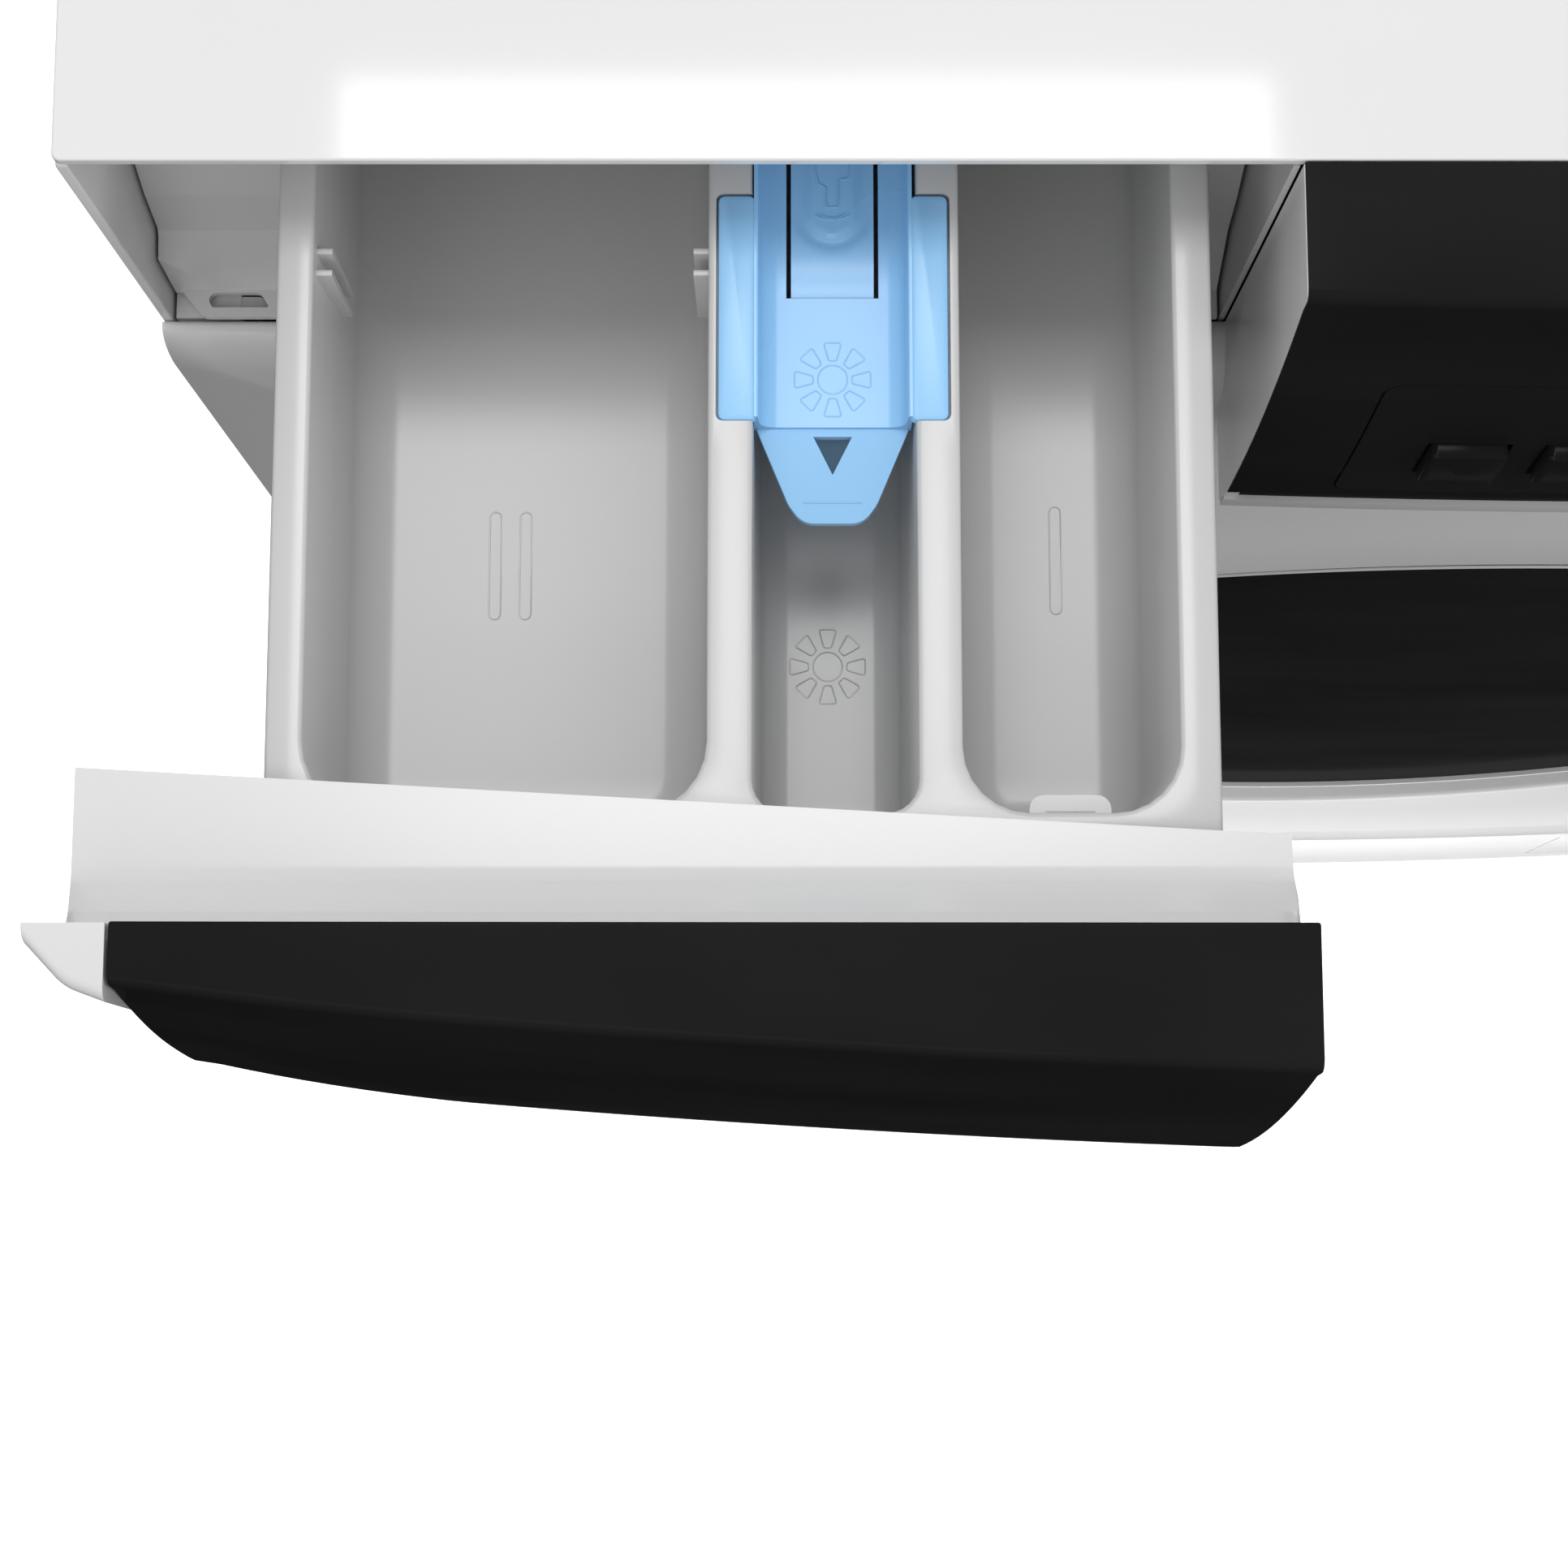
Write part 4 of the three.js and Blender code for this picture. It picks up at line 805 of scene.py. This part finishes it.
def cove_slice(x):
    """The grip cove behind the drawer front: a steep face, a tight curve and a nearly flat shelf."""
    rear = 26.9 - (x + 292.6) * 0.0556
    close = unit((x - (COVE_RIGHT - COVE_END)) / COVE_END)
    rise = 16.5 * (0.15 + 0.85 * math.sqrt(1 - close ** 2))
    foot = 829.4
    upper = [(-0.5, foot + rise), (2.4, foot + 8.4, 6), (8.8, foot, 5), (rear, 828.5)]
    lower = [(rear, 826.6), (7.8, 827.3, 5), (0.6, foot + 7.6, 6), (-2.6, foot + rise - 1.6)]
    return rounded(upper + lower, steps=8)


def slanted_end(form):
    """Leans the cove's left end outwards towards its shelf."""
    form.points = [(x + (3.7 * (z - 828.5) / 17 if x < COVE_LEFT + 1 else 0), y, z)
                   for x, y, z in form.points]
    return form


def end_cap(form, corner_x, wall_x, low):
    """The rounded white end of the fascia: a plan curve with a fillet along its top."""
    bend_x = wall_x + (6.6 if corner_x > wall_x else -6.6)
    plan = rounded([(corner_x, -0.3), (corner_x, -12.6), (bend_x, -10.2, 9), (wall_x, -3.2, 1.2),
                    (wall_x, -0.3)], steps=8)
    fillet = 2.4
    rings = [[(x, y, z) for x, y in plan] for z in (low, TOP_Z - 4.1, TOP_Z - 4, TOP_Z - fillet)]
    for k in range(1, 9):
        a = math.pi / 2 * k / 8
        back = fillet * (1 - math.cos(a))
        rings.append([(x, min(y + back, max(y, -1.0)), TOP_Z - fillet + fillet * math.sin(a)) for x, y in plan])
    form.add(Form().loft(rings))


def tucked(form):
    """Draws the drawer front's left end back, more towards its foot, as its side edge slants out."""
    def moved(x, y, z):
        share = unit((-x - 235) / 48) ** 2
        fall = unit((846 - z) / 89)
        reach = unit((-x - 250) / 36)
        back = share * (1.9 + 1.7 * fall) * unit(-y / 20)
        return max(x - 3.8 * fall * reach, -HALF_WIDTH + 1), y + back, z
    form.points = [moved(*p) for p in form.points]
    return form


def add_drawer_front():
    left = -HALF_WIDTH + END_CAP
    skin_stations = spaced(left + 0.3, DRAWER_RIGHT, 40)
    piece("drawer_glass", tucked(swept(fascia_slice(0, SKIN, foot=1.2), skin_stations)), "drawer", BLACK_GLOSS,
          "drawer_front_skin", bevel=0.6, steps=3, shift=-DRAWER_OUT)

    front = swept(fascia_slice(SKIN + 0.3, SKIN + 2.8), skin_stations)
    low, clear_y, clear_z = 755.0, -22, 766
    lip_y = fascia_face(low)
    lip = rounded([(clear_y, low), (clear_y, low + 1.7), (lip_y + 0.4, low + 1.7), (lip_y + 0.8, low)])
    front.add(swept(lip, skin_stations))
    end = rounded([(clear_y, clear_z), (clear_y, low), (lip_y + 3, low)]
                  + [(fascia_face(z) + 2.4, z) for z in spaced(760, 842, 10)]
                  + [(-22.5, TOP_Z - 2.5), (-0.5, TOP_Z - 2.5), (-0.5, clear_z)])
    front.add(swept(end, spaced(DRAWER_RIGHT - 2.5, DRAWER_RIGHT - 0.1, 2)))
    tucked(front)
    end_cap(front, left - 0.2, -HALF_WIDTH, 765.5)
    stations = spaced(COVE_LEFT, COVE_RIGHT - COVE_END, 24)
    stations += [COVE_RIGHT - COVE_END + COVE_END * math.sin(math.pi * k / 16) for k in range(1, 9)]
    front.add(slanted_end(swept(cove_slice, stations, unbowed)))
    front.box(-292.3, COVE_RIGHT, -3, -1, 790, 845)
    piece("drawer_front", front, "drawer", WHITE_PLASTIC, "drawer_front_body", bevel=0.5,
          steps=3, shift=-DRAWER_OUT, sharp=40)


def add_siphon():
    x = SIPHON_X
    top, deep = RIM_Z, 819.0
    channel = rounded([(-13.4, top), (-12.7, top, 0.3), (-12.2, deep, 3), (12.2, deep, 3), (12.7, top, 0.3),
                       (13.4, top), (13.4, deep - 2.4, 1), (-13.4, deep - 2.4, 1)])
    insert = Form().loft([[(x + a, y, z) for a, z in channel] for y in (-36.6, -13.8)])
    for side in (-1, 1):
        wall = rounded([(side * 13.4, top), (side * 12.7, top, 0.3), (side * 12.2, deep, 3), (side * 7.9, deep),
                        (side * 7.9, deep - 2.4), (side * 13.4, deep - 2.4, 1)])
        insert.loft([[(x + a, y, z) for a, z in wall] for y in (-13.8, 62)])
    for side in (-1, 1):
        near, far = sorted((x + side * 13.0, x + side * 19.5))
        rings = [(0, top - 2), (0, top - 0.7), (0.2, top - 0.2), (0.7, top)]
        insert.loft([[(a, b, h) for a, b in rectangle(near + g, far - g, -37.3 + g, 2.2 - g, 1.1, 4)]
                     for g, h in rings])
    tongue_top = lambda y: deep - 0.6 + (y + 36.6) * 0.16
    outline = rounded([(-12.9, -36.6), (-12.9, -37.0), (-7.6, -49.4, 6), (-5.2, -52.6, 4), (5.2, -52.6, 4),
                       (7.6, -49.4, 6), (12.9, -37.0), (12.9, -36.6)], 0, 6)
    arrow = [(-3.3, -38.0), (0, -44.4), (3.3, -38.0)]
    faces = []
    for drop in (0, 1.8):
        loops = [insert.ring([(x + a, b, tongue_top(b) - drop) for a, b in loop]) for loop in (outline, arrow)]
        insert.web(loops)
        faces.append(loops)
    for a, b in zip(*faces):
        insert.skin([a, b])
    insert.turned([(0, 781), (8, 781), (8, 817), (0, 817)], "z", (x, -27), 32)
    insert.tube([(x - 5, -49.1, tongue_top(-49.1)), (x + 5, -49.1, tongue_top(-49.1))], 0.18, 6)
    flower(insert, x, -28.2, deep, 6.5, 0.14)
    piece("siphon_cover", insert, "siphon", BLUE_PLASTIC, "siphon_insert", bevel=0.2, sharp=40)

    def height(u, v):
        """Top of the press tab: a raised pad in a shallow dish, and a curved root."""
        from_pad = max(0.0, math.hypot(u, min(v - 1.6, 0.0)) - 4.05)
        dish = -0.55 * math.exp(-((from_pad - 1.4) / 1.1) ** 2)
        pad = 0.25 if from_pad <= 0 else 0.0
        root = -0.5 * math.exp(-((v + 13.0) / 3.5) ** 2)
        return deep + dish + pad + root
    xs, ys = spaced(-7.1, 7.1, 28), spaced(-13.6, 58, 120)
    tab = Form()
    upper = [tab.ring([(x + u, v, height(u, v)) for u in xs]) for v in ys]
    lower = [tab.ring([(x + u, max(v, -12.4), deep - 2.5) for u in xs]) for v in ys]
    tab.skin(upper, closed=False)
    tab.skin(lower, closed=False)
    tab.skin([upper[0], lower[0]], closed=False)
    tab.skin([upper[-1], lower[-1]], closed=False)
    for edge in (0, -1):
        tab.skin([[row[edge] for row in upper], [row[edge] for row in lower]], closed=False)
    finger = rounded([(-1.1, 2.4), (1.1, 2.4), (1.1, 7.4), (2.9, 7.4, 0.8), (2.9, 9.6, 1), (1.5, 13, 0.8),
                      (-1.9, 13, 0.8), (-2.9, 9.4, 0.8), (-2.4, 6.6, 0.5), (-1.1, 6.0, 0.4)], 0.35, 3)
    tab.tube([(x + a, b, deep + 0.25) for a, b in finger], 0.13, 6, True)
    for reach in (2.0, 2.8):
        arc = [(x + reach * math.cos(a), 1.2 + 0.35 * reach * math.sin(a), deep + 0.25)
               for a in spaced(-math.pi, 0, 10)]
        tab.tube(arc, 0.13, 6)
    piece("press_pad", tab, "press_tab", BLUE_PLASTIC, "siphon_press_tab")


# ---------------------------------------------------------------- dispenser bay
def bay_slice(x):
    """The bay's front: a steep curved ramp over a sloping face, both cut back at the left end."""
    hip = max(0.0, (-286 - x) / 10.4)
    return rounded([(5.1, 764.4), (5.1 + 1.2 * hip, 766 + 14.5 * hip), (11.7, 781, 2), (14.2, 793, 8),
                    (17.5, 803, 8), (27, 812.5, 6), (44, 814), (44, 764.4)])


def add_bay():
    left, right, rear = -296.4, -97.4, 14
    bay = swept(bay_slice, spaced(left, -286, 5) + spaced(-270, right, 6), unbowed)
    ledge = rounded([(right, -0.2), (-290.6, -0.2, 1.5), (left, 6.6), (left, rear), (right, rear)], 0, 4)
    slot = rounded([(-291.2, 4.6, 1.4), (-289.0, 1.7, 0.3), (-278.2, 1.7, 0.3), (-280.0, 4.6, 1.4)], 0, 4)
    bay.pierced(ledge, [slot], 764.4, 766)
    bay.prism(slot, 762, 763.4)
    bay.box(left, -284, 0.4, rear, 735, 763.6)
    bay.prism([(-96.8, 0.2), (-95.7, 0.2), (-95.7, 60), (-96.8, 60)], 757.4, 845)
    bay.prism(rounded([(-106.8, 8), (-103.4, 7), (-103.4, 24), (-106.8, 24)], 0.5, 3), 768, 799)
    shell = Form().box(-272, -101.6, 26, 235, 764.4, 842)
    inside = Form().box(-268, -105.6, -5, 231, 767.2, 838)
    piece("dispenser_bay", bay, "cabinet", WHITE_PLASTIC, bevel=0.3, cuts=[inside], sharp=40)
    shell.turned([(0, 748), (16, 748), (16, 766), (0, 766)], "z", (-185, 180), 48)
    bore = Form().turned([(0, 740), (12, 740), (12, 772), (0, 772)], "z", (-185, 180), 48)
    piece("dispenser_box", shell, "cabinet", WHITE_PLASTIC, "dispenser_housing", bevel=0.8,
          cuts=[inside, bore])


# ---------------------------------------------------------------- door
def leaning(form):
    """The door's face follows the front panel's bow and leans back a little towards its foot."""
    def moved(x, y, z):
        lean = (AXIS_Z + DOOR_R - z) * DOOR_LEAN
        return x, y + unit(-y / 12) * (x * x / (2 * FRONT_BOW_R) + lean), z
    form.points = [moved(*p) for p in form.points]
    return form


def add_door():
    body = rounded([(144, -8), (190, -8), (197, -12.5), (197.6, -15.6, 0.2), (199, -15.9, 0.2),
                    (199.4, -12, 0.5), (202, -11.4, 0.5), (202, -9, 0.5), (198, -8, 1), (198, 8, 1),
                    (190, 10, 1), (144, 10)])
    pocket = Form().box(174, 192, 1, 20, AXIS_Z - 10, AXIS_Z + 10)
    piece("door_ring", leaning(Form().turned(body, sides=192)), "door", BLACK_PLATE,
          "door_frame", cuts=[pocket])
    rim = rounded([(197.4, -14), (197.4, -16.3, 0.2), (198.9, -16.5, 0.3), (198.9, -15.7), (198.0, -15.5),
                   (198.0, -14)])
    # The trim ring is pale partly as a painted highlight along the door's edge.
    piece("door_rim", leaning(Form().turned(rim, sides=192)), "door", PALE_TICKS_AND_RIM_HIGHLIGHT)
    cover_r = 197.2
    face = [(r, -23.6 + 8.9 * (r / cover_r) ** 2) for r in spaced(0, 196.4, 16)]
    cover = rounded([*face, (cover_r, -14.3), (cover_r, -12.8), (190, -8.3), (147, -8.3), (147, -16.2),
                     (80, -19.5), (0, -20.5)])
    piece("door_front", leaning(Form().turned(cover, sides=192)), "door", BLACK_GLOSS,
          "door_cover")
    bowl = rounded([(0, 66), (50, 66, 6), (112, 62, 14), (136, 32, 10), (143.5, 12, 3), (143.5, -9.8),
                    (138.5, -9.8), (138.5, 11, 3), (132, 29, 8), (110, 58.5, 12), (50, 62, 6), (0, 62)], 0, 6)
    piece("door_bowl", Form().turned(bowl, sides=128), "door", DOOR_GLASS, "door_glass")
    lips = [(161.6, 11), (161.6, 20), (164, 24), (161.6, 28), (165, 34), (161.6, 40), (165, 46), (161.6, 52),
            (161.6, 57)]
    inner = [(r - 2.6, y) for r, y in reversed(lips[3:])]
    inner += [(158.6, 29), (147, 24.5), (145.6, 21.4, 1), (158, 24), (158.6, 18), (158.6, 11)]
    outer = [lips[0], *((r, y, 1.2) for r, y in lips[1:-1]), lips[-1]]
    seal = Form().turned(rounded(outer + inner, 0, 3), sides=128)
    between = ("cabinet", "tub", TO_FRAME @ Vector((0, 24, AXIS_Z)), TO_FRAME @ Vector((0, 50, AXIS_Z)))
    piece("seal_bellows", seal, between, SEAL_RUBBER, "door_seal")


def add_drum():
    """The perforated basket with its rolled mouth, dished back and three lifters."""
    radius, low_y, high_y, columns, rows, hole = 241.8, 76.0, 368.0, 108, 20, 2.1
    wall = Form()
    around = ((-1, -1), (0, -1), (1, -1), (1, 0), (1, 1), (0, 1), (-1, 1), (-1, 0))
    lifter_reach = 8
    arc, step = 2 * math.pi / columns, (high_y - low_y) / rows
    for i in range(columns):
        middle = arc * (i + 0.5)
        from_lifter = abs((math.degrees(middle) - 90 + 60) % 120 - 60)
        for j in range(rows):
            spot = low_y + step * (j + 0.5)
            rings = []
            for reach in (0, 1):
                ring = []
                for a, b in around:
                    grow = hole / math.hypot(a, b)
                    turn = middle + (a * arc / 2, a * grow / radius)[reach]
                    ring.append((radius * math.cos(turn), spot + b * (step / 2, grow)[reach],
                                 AXIS_Z + radius * math.sin(turn)))
                rings.append(wall.ring(ring))
            wall.skin([rings[0] + rings[0][:1], rings[1] + rings[1][:1]], closed=False)
            if from_lifter < lifter_reach:
                wall.faces.append(tuple(rings[1]))
    piece("drum_wall", wall, "drum", STAINLESS, sheet=1.2, sharp=40)

    mouth = rounded([(176, 71.5, 1.4), (180, 70.4, 1.5), (242, 70.4, 5), (242, 77), (240.4, 77),
                     (240.4, 72, 3.5), (182, 72, 1), (177.5, 75.5, 1), (175, 74.5, 0.5)])
    ends = Form().turned(mouth, sides=144)
    outside = [(0, 368), (60, 368, 3), (66, 371, 3), (110, 371, 3), (116, 368.5, 3), (190, 368.5, 3),
               (198, 371, 3), (242, 371.9, 3), (242, 367)]
    inside = [(240.4, 367), (240.4, 369.6, 2), (198, 369.4, 3), (191, 366.9, 3), (115, 366.9, 3),
              (109, 369.4, 3), (67, 369.4, 3), (61, 366.4, 3), (0, 366.4)]
    ends.turned(rounded(outside + inside), sides=144)
    ridge = rounded([(-28, 239.6), (-12, 206, 8), (0, 201, 12), (12, 206, 8), (28, 239.6), (0, 240.6)], steps=6)
    for k in range(3):
        turn = Matrix.Rotation(2 * math.pi * k / 3, 2)
        outline = [tuple(turn @ Vector(p)) for p in ridge]
        ends.prism([(x, AXIS_Z + z) for x, z in outline], 91, 351, "y")
    piece("drum_ends", ends, "drum", STAINLESS, "drum_basket", bevel=0.6, sharp=40)


def keep(node, look, bevel=0.0):
    """A CAD node that stays: welded, softened at its edges and given its finish."""
    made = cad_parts[node]
    made.data.materials.clear()
    made.data.materials.append(look)
    weld = made.modifiers.new("weld", "WELD")
    weld.merge_threshold = 2e-5
    if bevel:
        edges = made.modifiers.new("soft_edges", "BEVEL")
        edges.width, edges.segments, edges.limit_method = bevel * MM, 2, "ANGLE"
        edges.angle_limit = math.radians(30)


add_camera()
add_studio()
add_worktop()
add_side_panels()
add_rear()
add_front_panel()
add_kick_panel()
add_fascia()
add_tray()
add_drawer_front()
add_siphon()
add_bay()
add_door()
add_drum()

KEPT = (
    (BOARD, 0, ("control_board",)),
    (BLACK_RUBBER, 0.3, ("drive_belt",)),
    (BLACK_RUBBER, 0.4, ("dispenser_hose", "sump_hose")),
    (BLACK_RUBBER, 0.6, ("foot_front_left", "foot_front_right", "foot_rear_left", "foot_rear_right")),
    (CAST_ALUMINIUM, 0.6, ("drum_pulley",)),
    (CAST_ALUMINIUM, 1, ("motor_body", "drum_spider_shaft")),
    (DARK_PLASTIC, 0.5, ("damper_tube_left", "damper_tube_right", "mains_gland", "drain_outlet")),
    (DARK_PLASTIC, 0.8, ("base_pan", "filter_cap", "door_lock")),
    (GREY_PLASTIC, 0.4, ("door_hinge_arm", "door_hinge_bracket")),
    (STAINLESS, 0, ("heater",)),
    (STAINLESS, 0.3, ("latch_hook",)),
    (STAINLESS, 0.4, ("motor_pulley", "drum_bearing", "damper_rod_left", "damper_rod_right")),
    (STEEL_WIRE, 0, ("spring_left", "spring_right")),
    (TUB_PLASTIC, 0.8, ("drain_pump",)),
    (TUB_PLASTIC, 1, ("tub_front_half", "tub_rear_half")),
    (WEIGHT_IRON, 2, ("front_counterweight",)),
    (WHITE_PLASTIC, 0.6, ("inlet_valve",)),
)
for look, bevel, nodes in KEPT:
    for node in nodes:
        keep(node, look, bevel)
